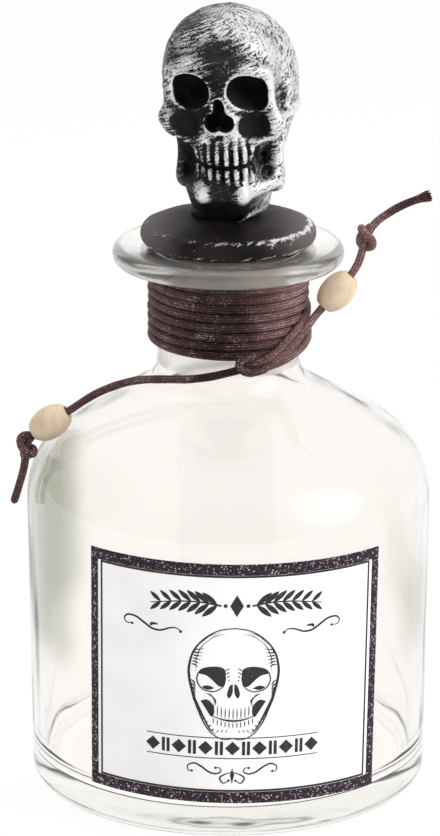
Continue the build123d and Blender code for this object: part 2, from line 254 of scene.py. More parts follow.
def lathe(points, segments, closed=False):
    """Vertices and faces of a profile turned round the Z axis. Points on the axis become one vertex."""
    on_axis = 1e-6
    angles = np.linspace(0, full_turn, segments, endpoint=False)
    vertices, rings = [], []
    for r, z in points:
        first = len(vertices)
        if r < on_axis:
            rings.append([first] * segments)
            vertices.append((0, 0, z))
        else:
            rings.append(list(range(first, first + segments)))
            vertices.extend((r * math.cos(a), r * math.sin(a), z) for a in angles)
    faces = []
    for low, high in zip(rings, rings[1:] + rings[:1] * closed):
        for i in range(segments):
            j = (i + 1) % segments
            face = list(dict.fromkeys([low[i], low[j], high[j], high[i]]))
            if len(face) > 2:
                faces.append(face)
    return vertices, faces


def joined(meshes):
    """One mesh, as points and faces, from several."""
    points, faces = [], []
    for more_points, more_faces in meshes:
        first = len(points)
        points.extend(more_points)
        faces.extend([tuple(index + first for index in face) for face in more_faces])
    return points, faces


# Materials

def rgba(value):
    """A colour with its alpha, or the value as it is where it isn't a colour."""
    return (*value, 1.0) if isinstance(value, tuple) else value


class Nodes:
    """Short calls that add shader nodes to a material or the world."""

    def __init__(self, owner):
        owner.use_nodes = True
        self.nodes = owner.node_tree.nodes
        self.links = owner.node_tree.links

    def feed(self, value, socket):
        if isinstance(value, bpy.types.NodeSocket):
            self.links.new(value, socket)
        else:
            socket.default_value = value

    def node(self, kind, inputs=None, **settings):
        made = self.nodes.new("ShaderNode" + kind)
        for key, value in settings.items():
            setattr(made, key, value)
        for key, value in (inputs or {}).items():
            self.feed(value, made.inputs[key])
        return made

    def math(self, operation, a, b=0.5):
        return self.node("Math", {0: a, 1: b}, operation=operation).outputs["Value"]

    def times(self, product, *values):
        for value in values:
            product = self.math("MULTIPLY", product, value)
        return product

    def total(self, total, *values):
        for value in values:
            total = self.math("ADD", total, value)
        return total

    def span(self, value, low, high, to_low=0.0, to_high=1.0):
        """Maps a value from one span to another, clamped and eased."""
        inputs = {"Value": value, "From Min": low, "From Max": high, "To Min": to_low, "To Max": to_high}
        return self.node("MapRange", inputs, interpolation_type="SMOOTHSTEP").outputs["Result"]

    def within(self, value, places, to_low=0.0, to_high=1.0):
        """The same for a coordinate, between two places in millimetres."""
        return self.span(value, places[0] * MM, places[1] * MM, to_low, to_high)

    def split(self, vector):
        """A vector's X, Y and Z."""
        return self.node("SeparateXYZ", {"Vector": vector}).outputs


class Finish(Nodes):
    """A material with one Principled shader, and short calls for what drives it."""

    def __init__(self, name, **values):
        self.material = bpy.data.materials.new(name)
        super().__init__(self.material)
        self.shader = self.nodes["Principled BSDF"]
        self.output = self.nodes["Material Output"]
        self.drive(**values)

    def drive(self, **values):
        """Gives the shader numbers, colours or the outputs of nodes."""
        for key, value in values.items():
            self.feed(rgba(value), self.shader.inputs[key.replace("_", " ")])

    def place(self, stretch=(1, 1, 1)):
        coordinates = self.node("TexCoord").outputs["Object"]
        return self.node("Mapping", {"Vector": coordinates, "Scale": stretch}).outputs["Vector"]

    def noise(self, vector, size, detail=3.0, rough=0.5, distortion=0.0):
        """Soft noise whose blotches are about that many millimetres across."""
        inputs = {
            "Vector": vector, "Scale": 1 / (size * MM), "Detail": detail,
            "Roughness": rough, "Distortion": distortion,
        }
        return self.node("TexNoise", inputs).outputs["Fac"]

    def cells(self, vector, size, output="Distance"):
        return self.node("TexVoronoi", {"Vector": vector, "Scale": 1 / (size * MM)}).outputs[output]

    def blend(self, share, a, b):
        """A colour between two colours."""
        first_colour, second_colour, result = 6, 7, 2
        inputs = {"Factor": share, first_colour: rgba(a), second_colour: rgba(b)}
        return self.node("Mix", inputs, data_type="RGBA").outputs[result]

    def attribute(self, name):
        return self.node("Attribute", attribute_name=name).outputs["Fac"]

    def bump(self, height, depth):
        """A bump whose full height is that many millimetres."""
        self.drive(Normal=self.node("Bump", {"Height": height, "Distance": depth * MM}).outputs["Normal"])


def glass_finish():
    """Clear glass with a warm body colour. Where the wall is seen edge on, a greenish grey is painted into
    its colour: high on the left side, and lower and fainter on the right. It is a painted reflection and
    shade of the darker studio sides. The mesh says how hazy each place is. Haze is roughness, and at the
    lip and in the ground bore the glass is a little milky too."""
    clear, painted_edge_shade = (0.993, 0.972, 0.948), (0.50, 0.51, 0.435)
    depth_colour, density = (0.80, 0.81, 0.70), 3.0
    ripple_size, ripple_stretch, ripple_depth = 16, (1, 1, 0.45), 0.25
    finish = Finish("clear_glass", IOR=1.47)
    finish.bump(finish.noise(finish.place(ripple_stretch), ripple_size, 1.0), ripple_depth)
    x, _, z = finish.split(finish.place())
    edge_on = finish.node("LayerWeight", {"Blend": 0.5}).outputs["Facing"]
    left = finish.times(finish.within(x, (-43, -36), 1.0, 0.0), finish.within(z, (86, 99), 1.0, 0.0))
    right = finish.times(finish.within(x, (40, 48), 0.0, 0.7), finish.within(z, (55, 70), 1.0, 0.0))
    # Painted reflection and shade: the greenish grey on the edge-on wall, in a high window on the left and
    # a lower one on the right.
    painted_shade_zone = finish.times(
        finish.span(edge_on, 0.14, 0.36), finish.span(edge_on, 0.75, 0.97, 1.0, 0.0),
        finish.within(z, (34, 47)), finish.math("MAXIMUM", left, right),
    )
    haze = finish.attribute("haze")
    finish.drive(
        Base_Color=finish.blend(painted_shade_zone, clear, painted_edge_shade),
        Roughness=finish.span(haze, 0, 1, 0.015, 0.28),
        Transmission_Weight=finish.span(haze, 0.3, 0.5, 1.0, 0.93),
    )
    absorption = finish.node("VolumeAbsorption", {"Color": rgba(depth_colour), "Density": density})
    finish.links.new(absorption.outputs["Volume"], finish.output.inputs["Volume"])
    return finish.material


def paper_finish():
    """White paper with faint blotches and a fibre too fine to see from afar."""
    finish = Finish("label_paper", Roughness=0.62, Specular_IOR_Level=0.3)
    place = finish.place()
    blotch = finish.span(finish.noise(place, 14, 4), 0.35, 0.7)
    finish.drive(Base_Color=finish.blend(blotch, (0.79, 0.785, 0.775), (0.84, 0.83, 0.815)))
    finish.bump(finish.noise(place, 0.35, 2), 0.02)
    return finish.material


def glitter_finish():
    """Black and plum flakes, some of them bright metal."""
    finish = Finish("label_glitter", Specular_IOR_Level=0.3)
    flake = finish.cells(finish.place(), 0.32, "Color")
    tone = finish.node("SeparateColor", {"Color": flake}).outputs
    bright = finish.span(tone["Red"], 0.84, 0.93)
    colour = finish.blend(bright, (0.012, 0.006, 0.011), (0.62, 0.52, 0.58))
    finish.drive(
        Base_Color=finish.blend(finish.span(tone["Green"], 0.4, 1.0), colour, (0.03, 0.012, 0.027)),
        Metallic=finish.times(bright, 0.9),
        Roughness=finish.span(tone["Blue"], 0, 1, 0.18, 0.6),
    )
    finish.bump(tone["Blue"], 0.12)
    return finish.material


def ink_finish():
    """Black ink, greyer where it is worn."""
    finish = Finish("label_ink", Roughness=0.6, Specular_IOR_Level=0.15)
    wear = finish.span(finish.noise(finish.place(), 0.6, 3), 0.55, 0.75)
    finish.drive(Base_Color=finish.blend(wear, (0.032, 0.030, 0.030), (0.085, 0.08, 0.08)))
    return finish.material


def cork_finish():
    """Dark stained cork with darker pores."""
    finish = Finish("cork", Roughness=0.8, Specular_IOR_Level=0.25)
    place = finish.place()
    grain = finish.noise(place, 3.5, 4)
    pits = finish.noise(finish.place((1, 1, 0.5)), 0.9, 2)
    speck = finish.span(finish.cells(place, 1.8), 0.0, 0.25, 0.5, 0.0)
    colour = finish.blend(finish.span(grain, 0.3, 0.7), (0.13, 0.095, 0.075), (0.25, 0.19, 0.15))
    colour = finish.blend(finish.span(pits, 0.62, 0.72), colour, (0.05, 0.035, 0.027))
    finish.drive(Base_Color=finish.blend(speck, colour, (0.06, 0.04, 0.03)))
    finish.bump(finish.math("SUBTRACT", grain, finish.span(pits, 0.6, 0.72)), 0.35)
    return finish.material


def cord_finish():
    """Waxed cord: a fine braid along the laid UV map, with pale specks on the plies that are partly waxy
    spots and partly painted glints. The tops of the plies are painted lighter, a painted highlight. Towards
    the knot's side, and a little at the far left, the cord is painted paler and with more specks: painted
    light where the lamps fall on its sides."""
    ply_count, ply_lay = 5.0, 3.4
    finish = Finish("waxed_cord", Specular_IOR_Level=0.12, Sheen_Weight=0.02, Sheen_Roughness=0.4)
    round_way, along, _ = finish.split(finish.node("UVMap", uv_map="lay").outputs["UV"])
    turn = finish.times(round_way, ply_count * full_turn)
    advance = finish.times(along, ply_count / ply_lay * full_turn)
    ply = finish.math("SINE", finish.total(turn, advance))
    back = finish.math("SINE", finish.math("SUBTRACT", turn, advance))
    weave = finish.times(ply, back)
    place = finish.place()
    x = finish.split(place)["X"]
    # Painted light: paler towards the right and a little at the far left, where light falls on the cord.
    painted_side_light = finish.times(finish.within(x, (1, 17)), finish.within(x, (36, 44), 1.0, 0.2))
    painted_side_light = finish.math("MAXIMUM", painted_side_light, finish.within(x, (-17, -6), 0.45, 0.0))
    patch = finish.noise(place, 7, 3)
    uneven = finish.span(patch, 0.3, 0.7)
    # Pale specks, partly waxy spots and partly painted glints, more of them in the painted light.
    wax_and_glint_specks = finish.total(
        finish.noise(place, 0.42, 4, 0.7), finish.times(weave, 0.12), finish.times(patch, 0.35),
        finish.times(painted_side_light, 0.09),
    )
    dark = finish.blend(uneven, (0.014, 0.0058, 0.0068), (0.032, 0.013, 0.015))
    dark = finish.blend(painted_side_light, dark, (0.120, 0.052, 0.053))
    # Painted highlight: the colour the tops of the plies are lightened to.
    painted_ply_highlight = finish.blend(painted_side_light, (0.060, 0.027, 0.030), (0.27, 0.135, 0.132))
    colour = finish.blend(finish.span(weave, -0.3, 0.9, 0.0, 0.6), dark, painted_ply_highlight)
    finish.drive(
        Base_Color=finish.blend(finish.span(wax_and_glint_specks, 0.78, 0.92), colour, (0.50, 0.37, 0.36)),
        Roughness=finish.span(patch, 0.3, 0.7, 0.40, 0.60),
    )
    finish.bump(finish.total(finish.times(weave, 0.6), finish.noise(place, 0.3, 3)), 0.22)
    return finish.material


def bead_finish():
    """Pale bare wood with a fine grain along the bottle's height."""
    finish = Finish("bead_wood", Roughness=0.45, Coat_Weight=0.2, Coat_Roughness=0.3)
    grain = finish.noise(finish.place((1, 1, 0.25)), 1.6, 4, 0.6, 0.8)
    fine = finish.noise(finish.place((1, 1, 0.2)), 0.35, 3)
    colour = finish.blend(finish.span(grain, 0.3, 0.8), (0.61, 0.485, 0.345), (0.51, 0.385, 0.265))
    colour = finish.blend(finish.span(fine, 0.5, 0.85, 0.0, 0.2), colour, (0.55, 0.39, 0.24))
    finish.drive(Base_Color=colour)
    finish.bump(fine, 0.03)
    return finish.material


def resin_finish(name, black_low, black_high, painted_side_tone, thin_silver):
    """Black casting resin with silver brushed over it, greyer where it is thin. The mesh says what share of
    each place is silver. The black is painted paler towards the sides, a painted reflection of the light
    there."""
    head_r, brush_slope, brush_stretch, depth_stretch = 17 * MM, 0.42, 0.13, 0.4
    thick_silver = (0.93, 0.915, 0.915)
    finish = Finish(name, Specular_IOR_Level=0.15)
    place = finish.place()
    x, y, z = finish.split(place)
    round_way = finish.times(finish.math("ARCTAN2", x, y), head_r)
    swept = {
        "X": finish.times(round_way, brush_stretch),
        "Y": finish.total(z, finish.times(round_way, brush_slope)),
        "Z": finish.times(y, depth_stretch),
    }
    stroke = finish.noise(finish.node("CombineXYZ", swept).outputs["Vector"], 0.6, 4, 0.65, 0.4)
    speck = finish.noise(place, 0.5, 4, 0.65)
    broad = finish.noise(place, 9, 2)
    share = finish.attribute("silver_share")
    uneven = [
        finish.times(finish.math("SUBTRACT", value, 0.5), weight)
        for value, weight in ((stroke, 4.2), (speck, 2.8), (broad, 0.8))
    ]
    cover = finish.total(share, *uneven)
    silver = finish.span(cover, 0.36, 0.68)
    black = finish.blend(finish.span(broad, 0.35, 0.65), black_low, black_high)
    # Painted reflection: the black lighter towards the sides.
    black = finish.blend(finish.within(finish.math("ABSOLUTE", x), (10, 21)), black, painted_side_tone)
    body = finish.total(finish.times(share, 0.72), finish.times(cover, 0.28))
    metal = finish.blend(finish.span(body, 0.12, 1.0), thin_silver, thick_silver)
    finish.drive(
        Base_Color=finish.blend(silver, black, metal),
        Metallic=finish.times(silver, 0.92),
        Roughness=finish.span(silver, 0, 1, 0.55, 0.28),
    )
    finish.bump(finish.total(finish.times(stroke, 0.7), finish.times(silver, 0.25), speck), 0.22)
    return finish.material


# Glass

def shoulder_points(inset, top_r):
    """The shoulder from the wall up to the neck, that far inside the outer face: an arc, a straight
    slope and a hollow sweep."""
    steps = 16
    arc_r, fillet_r = shoulder_arc_r - inset, neck_fillet_r + inset
    rise, level = math.sin(math.radians(shoulder_slope)), math.cos(math.radians(shoulder_slope))
    over = arc_points((shoulder_r - inset - arc_r, shoulder_z), arc_r, 0, 90 - shoulder_slope, steps)
    sweep_r = top_r + fillet_r
    run = (over[-1][0] - (sweep_r - fillet_r * rise)) / level
    sweep_z = over[-1][1] + run * rise + fillet_r * level
    return over + arc_points((sweep_r, sweep_z), fillet_r, 270 - shoulder_slope, 180, steps)


def glass_profile():
    """The outside of the glass from the foot's middle up to the mouth, and the inside back down."""
    foot_out = body_base_r - base_corner_r
    lip_edge = lip_r - lip_edge_r
    outside = dome_points(foot_out - foot_width, 0, punt_depth)[::-1]
    outside += arc_points((foot_out, base_corner_r), base_corner_r, -90, 0)
    outside += shoulder_points(0, neck_r)
    outside += arc_points((neck_r + lip_root_r, lip_low_z - lip_root_r), lip_root_r, 180, 90, 4)
    outside += arc_points((lip_edge, lip_low_z + lip_edge_r), lip_edge_r, -90, 0)
    outside += arc_points((lip_edge, lip_top_z - lip_edge_r), lip_edge_r, 0, 90)
    outside += arc_points((bore_r + mouth_r, lip_top_z - mouth_r), mouth_r, 90, 180, 5)
    inside = shoulder_points(wall, bore_r)[::-1]
    floor_edge = body_base_r - wall - floor_corner_r
    inside += arc_points((floor_edge, floor_thickness + floor_corner_r), floor_corner_r, 0, -90)
    inside += dome_points(floor_edge, floor_thickness, floor_hump)
    return tidy_profile(outside), tidy_profile(inside)


def build_glass():
    """The whole body of glass. Its inside is a little hazy, and the lip and the ground bore more so."""
    sides, floor_reach, bore_reach = 192, 1.0, 0.1
    outside, inside = glass_profile()
    vertices, faces = lathe(outside + inside, sides)
    piece = make_piece(
        "glass_body", vertices, faces, "bottle", "clear_glass", glass_finish(), ["glass_bottle"]
    )
    places = np.array(vertices, float)
    radius, height = np.hypot(places[:, 0], places[:, 1]), places[:, 2]
    wall_middle = np.interp(
        height, (floor_thickness, shoulder_z), (body_base_r - wall / 2, shoulder_r - wall / 2)
    )
    second_half = np.arange(len(vertices)) > len(vertices) // 2
    inner = (height > floor_thickness - floor_reach) & (radius < wall_middle) & second_half
    haze = np.zeros(len(vertices))
    haze[inner] = inside_haze
    haze[inner & (height < floor_thickness + floor_corner_r)] = floor_haze
    haze[(height > lip_low_z - floor_reach) & (radius > neck_r)] = lip_haze
    haze[(height < base_corner_r) & (radius < body_base_r - floor_reach)] = foot_haze
    haze[(radius < bore_r + bore_reach) & (height > ground_bore_z)] = bore_haze
    store_values(piece, "haze", haze)
    piece.visible_shadow = False


# Label

def wall_r(z):
    """The radius of the glass's wall at a height."""
    share = (z - base_corner_r) / (shoulder_z - base_corner_r)
    return body_base_r + (shoulder_r - body_base_r) * share


def on_label(u, v, lift):
    """The place on the glass of a point of the flat label, measured from its middle."""
    tilt = math.radians(-label_tilt)
    across = u * math.cos(tilt) - v * math.sin(tilt)
    z = label_z + u * math.sin(tilt) + v * math.cos(tilt)
    r = wall_r(z) + glue_film + lift
    angle = math.radians(label_turn) + across / wall_r(label_z)
    return r * math.sin(angle), -r * math.cos(angle), z


def sheet_mesh(low_u, high_u, low_v, high_v, step, low_lift, lift_at):
    """A closed slab on the label, with its top at a height that may change from point to point."""
    columns = max(2, round((high_u - low_u) / step) + 1)
    rows = max(2, round((high_v - low_v) / step) + 1)
    places = [(u, v) for v in np.linspace(low_v, high_v, rows) for u in np.linspace(low_u, high_u, columns)]
    top = [on_label(u, v, lift_at(u, v)) for u, v in places]
    bottom = [on_label(u, v, low_lift) for u, v in places]
    count = len(top)
    faces = []
    for row in range(rows - 1):
        for a in range(row * columns, (row + 1) * columns - 1):
            b, c, d = a + 1, a + columns + 1, a + columns
            faces += [(a, b, c, d), (a + count, d + count, c + count, b + count)]
    grid = np.arange(count).reshape(rows, columns)
    rim = np.concatenate([grid[0], grid[1:, -1], grid[-1, -2::-1], grid[-2:0:-1, 0]]).tolist()
    faces += [(a, a + count, b + count, b) for a, b in zip(rim, rim[1:] + rim[:1])]
    return top + bottom, faces


def build_paper():
    half_w, half_h = label_w / 2, label_h / 2
    sheet = sheet_mesh(-half_w, half_w, -half_h, half_h, paper_step, 0, lambda u, v: paper)
    make_piece("paper_label", *sheet, "bottle", "label_paper", paper_finish(), ["label_paper"])


def ring_mesh(inset, side_width, end_width, step, lift_at):
    """A rectangular band on the paper: four straight strips, butted at the corners."""
    half_w, half_h = label_w / 2 - inset, label_h / 2 - inset
    strips = (
        (-half_w, half_w, half_h - end_width, half_h),
        (-half_w, half_w, -half_h, -half_h + end_width),
        (-half_w, -half_w + side_width, -half_h + end_width, half_h - end_width),
        (half_w - side_width, half_w, -half_h + end_width, half_h - end_width),
    )
    return joined([sheet_mesh(*strip, step, paper, lift_at) for strip in strips])


def build_band():
    """The glittered band, grainy on top."""
    lowest_share = 0.55
    grain = np.random.default_rng(seed=7)

    def rough(u, v):
        return paper + frame_height * grain.uniform(lowest_share, 1.0)

    band = ring_mesh(frame_inset, frame_side_width, frame_end_width, grain_step, rough)
    make_piece("glitter_band", *band, "bottle", "label_glitter", glitter_finish(), ["label_frame"])


class Print:
    """Flat inked shapes in the label's own plane, gathered into one mesh that is bent round the paper."""

    def __init__(self):
        self.mesh = bmesh.new()
        self.shift = 0.0

    def add(self, flat, faces):
        made = [self.mesh.verts.new((u + self.shift, v, 0)) for u, v in flat]
        for face in faces:
            self.mesh.faces.new([made[index] for index in face])

    def shape(self, outline):
        """A filled outline, cut into triangles."""
        for a, b, c in tessellate_polygon([[Vector((u, v, 0)) for u, v in outline]]):
            (ax, ay), (bx, by), (cx, cy) = outline[a], outline[b], outline[c]
            ahead = (bx - ax) * (cy - ay) - (by - ay) * (cx - ax) > 0
            self.add([outline[a], outline[b], outline[c]], [(0, 1, 2) if ahead else (0, 2, 1)])

    def lozenge(self, u, v, half_w, half_h):
        self.shape([(u - half_w, v), (u, v - half_h), (u + half_w, v), (u, v + half_h)])

    def dot(self, u, v, radius, sides):
        angles = np.linspace(0, full_turn, sides + 1)[:-1]
        self.shape([(u + radius * math.cos(a), v + radius * math.sin(a)) for a in angles])

    def stroke(self, line, widths):
        """A ribbon along a line, as wide at each point as its width says."""
        line = np.asarray(line, float)
        count = len(line)
        along = np.gradient(line, axis=0)
        along /= np.maximum(np.linalg.norm(along, axis=1, keepdims=True), 1e-9)
        half = np.broadcast_to(np.asarray(widths, float), count)[:, None] / 2
        side = np.stack([-along[:, 1], along[:, 0]], 1) * half
        faces = [(i + count, i + count + 1, i + 1, i) for i in range(count - 1)]
        self.add(np.concatenate([line + side, line - side]).tolist(), faces)

    def swell(self, line, thin, thick):
        """A ribbon that swells from both its ends to its middle."""
        share = np.sin(np.linspace(0, math.pi, len(line))) ** 1.3
        self.stroke(line, thin + (thick - thin) * share)

    def bent(self):
        """The points and faces on the paper, after cuts that keep each face narrower than a step."""
        for u in np.arange(-label_w / 2, label_w / 2, ink_step):
            near = [face for face in self.mesh.faces if
                    min(v.co.x for v in face.verts) < u < max(v.co.x for v in face.verts)]
            parts = {part for face in near for part in (*face.verts, *face.edges, face)}
            bmesh.ops.bisect_plane(self.mesh, geom=list(parts), plane_co=(u, 0, 0), plane_no=(1, 0, 0))
        self.mesh.verts.index_update()
        points = [on_label(v.co.x, v.co.y, paper + ink_lift) for v in self.mesh.verts]
        faces = [[v.index for v in face.verts] for face in self.mesh.faces]
        self.mesh.free()
        return points, faces


def curve_through(points, steps):
    """A smooth line through points, as a Catmull-Rom curve."""
    p = np.asarray(points, float)
    p = np.vstack([2 * p[0] - p[1], p, 2 * p[-1] - p[-2]])
    out = []
    for i in range(1, len(p) - 2):
        for t in np.linspace(0, 1, steps, endpoint=False):
            a = 2 * p[i]
            b = (p[i + 1] - p[i - 1]) * t
            c = (2 * p[i - 1] - 5 * p[i] + 4 * p[i + 1] - p[i + 2]) * t * t
            d = (3 * p[i] - p[i - 1] - 3 * p[i + 1] + p[i + 2]) * t**3
            out.append((a + b + c + d) / 2)
    out.append(p[-2])
    return np.array(out)


def draw_scroll(ink, side):
    """An S-shaped flourish with a hook and a small leaf, under the upper ornament."""
    mirrored = (side * scroll_share, 1)
    line = curve_through([
        (27.0, 14.0), (28.8, 14.0), (29.3, 15.2), (28.1, 16.1), (25.8, 15.9), (23.4, 14.6), (21.4, 13.5),
        (19.0, 13.3), (16.4, 14.2), (14.6, 14.3), (13.6, 13.6),
    ], 8) * mirrored
    ink.swell(line, 0.24, 0.56)
    for u, v, size in ((27.0, 13.95, 0.36), (13.55, 13.5, 0.4)):
        ink.dot(u * side * scroll_share, v, size, sides=14)
    leaf = curve_through([(21.9, 14.0), (21.8, 15.0), (20.4, 15.1), (19.6, 14.7), (21.0, 14.5)], 6)
    ink.shape((leaf * mirrored).tolist())


def draw_leaf(ink, root, length, width, angle):
    """A pointed leaf that grows from its root at an angle from upright, in degrees."""
    share = np.linspace(0, 1, 12)
    half = width / 2 * np.sin(share * math.pi) ** 0.8
    side = [(-h, s * length) for s, h in zip(share, half)]
    other = [(h, s * length) for s, h in zip(share, half)][::-1][1:-1]
    c, s = math.cos(math.radians(angle)), math.sin(math.radians(angle))
    ink.shape([(root[0] + x * c + y * s, root[1] - x * s + y * c) for x, y in side + other])


def draw_upper_frieze(ink):
    """Two laurel branches that meet at a lozenge."""
    middle, leaf_count, leaf_length, leaf_width, leaf_lean, shrink = 20.9, 7, 5.0, 1.45, 40, 0.04
    stem_points = ((3.8, 0), (9, 0.8), (15, 0.6), (21.8, -0.5))
    ink.lozenge(0, middle, 1.7, 2.9)
    for side in (-1, 1):
        ink.dot(side * 2.8, middle, 0.5, sides=14)
        stem = curve_through([(side * u, middle + v) for u, v in stem_points], 10)
        ink.stroke(stem, np.linspace(0.5, 0.25, len(stem)))
        for number in range(leaf_count):
            size = 1 - shrink * number
            for lean in (-1, 1):
                angle = side * (90 - lean * leaf_lean)
                draw_leaf(ink, stem[2 + number * 4], leaf_length * size, leaf_width * size, angle)


def draw_lower_band(ink):
    """A bold band of lozenges and pairs of bars between two rules."""
    count, step, middle, half_h, bar_offset, bar_half_w = 13, 3.4, -17.1, 1.85, 0.62, 0.4
    low_v, high_v = middle - half_h, middle + half_h
    for number in range(count):
        x = (number - (count - 1) / 2) * step
        if number % 2:
            for offset in (-bar_offset, bar_offset):
                low, high = x + offset - bar_half_w, x + offset + bar_half_w
                ink.shape([(low, low_v), (high, low_v), (high, high_v), (low, high_v)])
        else:
            ink.lozenge(x, middle, 1.9, half_h)
    half_w, rule_reach = count * step / 2, half_h * 1.48
    for v in (middle - rule_reach, middle + rule_reach):
        ink.stroke([(u, v) for u in np.linspace(-half_w, half_w, 40)], 0.25)


def draw_bottom_scroll(ink):
    """Mirrored curls round a spindle."""
    middle = -23.6
    curls = (
        ((10.2, 0.1), (11.1, 0.2), (11.2, 1.5), (9.6, 2.2), (7.8, 1.4), (6.0, 0.1), (4.2, -0.4), (2.9, 0.2),
         (3.2, 1.2), (4.2, 1.2)),
        ((0.3, 0.0), (1.8, -0.5), (3.1, -1.5), (2.2, -2.9), (0.9, -2.2)),
    )
    for side in (-1, 1):
        for curl, thick in zip(curls, (0.48, 0.44)):
            ink.swell(curve_through(curl, 7) * (side, 1) + (0, middle), 0.2, thick)
        for u, v in ((10.2, 0.1), (4.2, 1.2), (0.9, -2.2)):
            ink.dot(side * u, middle + v, 0.34, sides=12)
    ink.shape([(0, middle - 3.2), (0.55, middle - 0.6), (0, middle + 1.2), (-0.55, middle - 0.6)])


# Half of the printed skull, round its own middle: its outline, the edge lines with the thinnest and
# thickest width of each, and the filled hollows.
figure_outline = (
    (-0.9, 14.4), (0.9, 14.4), (4.4, 13.6), (7.8, 11.2), (10.2, 7.9), (11.2, 4.0), (11.1, 0.9),
    (10.4, -2.3), (9.7, -4.9), (8.5, -8.1), (7.1, -11.3), (4.9, -14.0), (2.3, -15.2), (0, -14.9),
)
figure_edges = (
    (((10.1, -3.0), (8.7, -6.4), (7.4, -9.4), (5.8, -12.4), (4.2, -13.9)), 0.12, 0.5),
    (((9.5, 2.6), (9.3, 6.4), (8.1, 9.4), (6.2, 11.4)), 0.06, 0.26),
    (((2.0, 1.0), (2.5, 3.6), (5.2, 4.1), (8.2, 3.2), (9.2, 0.6), (7.8, -1.8), (4.8, -2.4), (2.6, -1.0),
      (2.0, 1.0)), 0.24, 0.36),
)
figure_hollows = (
    ((2.1, 0.6), (2.4, 3.3), (4.8, 4.0), (7.4, 3.5), (8.9, 2.4), (6.8, 1.8), (5.2, 0.5), (3.6, -1.0),
     (2.5, -0.8)),
    ((4.7, -1.5), (6.4, -0.8), (7.9, -1.3), (6.4, -2.0)),
    ((0.2, -0.3), (1.0, -0.9), (1.6, -3.0), (1.2, -4.1), (0.6, -3.6), (0.2, -2.4)),
    ((8.2, -5.0), (6.6, -4.6), (5.2, -5.8), (4.7, -7.8), (5.4, -9.2), (6.8, -7.2)),
)
# Its hatching: how many strokes, their thinnest and thickest width, and where each point of the first
# stroke is, with how far it moves from one stroke to the next.
figure_hatching = (
    (6, 0.1, 0.4, ((10.9, 0.6, -0.15, -0.9), (10.0, 0.0, 0, -0.9), (9.5, -1.0, 0, -1))),
    (6, 0.08, 0.4, ((10.9, 4.6, -0.3, 0.9), (9.8, 4.6, 0, 0.8), (8.9, 3.9, -0.3, 1))),
    (4, 0.1, 0.3, ((6.9, -2.9, -0.6, -0.3), (5.6, -3.4, -0.4, -0.5), (4.6, -4.6, 0, -0.5))),
    (4, 0.1, 0.3, ((1.4, 0.4, 0.3, 0.9), (1.0, 0.9, 0, 1))),
    (5, 0.1, 0.4, ((8.6, -9.0, -0.8, -1), (7.9, -8.4, -0.8, -1))),
    (3, 0.08, 0.24, ((1.8, -13.4, 1.2, 0), (1.4, -12.6, 1, 0))),
    (1, 0.04, 0.2, ((2.2, 13.0, 0, 0), (5.0, 12.2, 0, 0), (7.2, 10.4, 0, 0))),
    (1, 0.04, 0.2, ((3.4, 13.4, 0, 0), (6.2, 12.3, 0, 0), (8.4, 10.0, 0, 0))),
)


def draw_figure(ink):
    """A plain skull seen from the front, drawn in outline with dark hollows and hatching."""
    middle, step, curved, bite_v, bite_half_w = 0.5, 0.98, 0.05, -10.2, 5.2
    tooth_rows, tooth_widths = ((-9.8, -6.9), (-12.2, -10.6)), (0.10, 0.26, 0.26, 0.10)

    def both(points):
        """The points, and the same points on the other side."""
        return [(x, y + middle) for x, y in points], [(-x, y + middle) for x, y in points]

    def hatch(line, thin, thick):
        for side in both(curve_through(line, 5)):
            ink.swell(side, thin, thick)

    for side in both(figure_outline):
        line = curve_through(side, 8)
        ink.stroke(line, 0.28 + 0.42 * np.sin(np.linspace(0.2, 3.0, len(line))) ** 4)
    for edge in figure_edges:
        hatch(*edge)
    for hollow in figure_hollows:
        for side in both(curve_through([*hollow, hollow[0]], 5)[:-1]):
            ink.shape(side)
    for x in np.arange(-5, 6) * step:
        for low, high in tooth_rows:
            line = [(x, y + middle + curved * x * x) for y in np.linspace(low, high, 4)]
            ink.stroke(line, tooth_widths)
    x = np.linspace(-bite_half_w, bite_half_w, 50)
    wavy = 0.12 * np.sin(9 * x)
    ink.swell(np.stack([x, bite_v + middle + curved * x * x + wavy], 1), 0.2, 0.5)
    for count, thin, thick, points in figure_hatching:
        for n in range(count):
            hatch([(x + step_x * n, y + step_y * n) for x, y, step_x, step_y in points], thin, thick)


def build_print():
    """The ornament, the figure and the thin line inside the band, as ink on the paper."""
    width, lift = inner_line_width, paper + inner_line_height
    line = ring_mesh(inner_line_inset, width, width, paper_step, lambda u, v: lift)
    ink = Print()
    draw_upper_frieze(ink)
    ink.shift = print_shift
    draw_lower_band(ink)
    draw_bottom_scroll(ink)
    draw_figure(ink)
    ink.shift = scroll_shift
    for side in (-1, 1):
        draw_scroll(ink, side)
    make_piece("label_print", *joined([line, ink.bent()]), "bottle", "label_glitter", ink_finish())


# Cord

def smooth_line(name, route):
    """Points of the smooth line that a cord follows: the spline with the route as its control points."""
    curve = bpy.data.curves.new(name, "CURVE")
    curve.dimensions = "3D"
    curve.resolution_u = 8
    spline = curve.splines.new("NURBS")
    spline.points.add(len(route) - 1)
    for point, place in zip(spline.points, route):
        point.co = (*(np.asarray(place) * MM), 1.0)
    spline.order_u = 3
    spline.use_endpoint_u = True
    holder = in_scene(name, curve)
    mesh = bpy.data.meshes.new_from_object(holder)
    points = np.array([v.co for v in mesh.vertices]) / MM
    bpy.data.objects.remove(holder)
    bpy.data.meshes.remove(mesh)
    bpy.data.curves.remove(curve)
    return points


def lengths_along(points):
    """How far along a line each of its points is."""
    return np.r_[0, np.cumsum(np.linalg.norm(np.diff(points, axis=0), axis=1))]


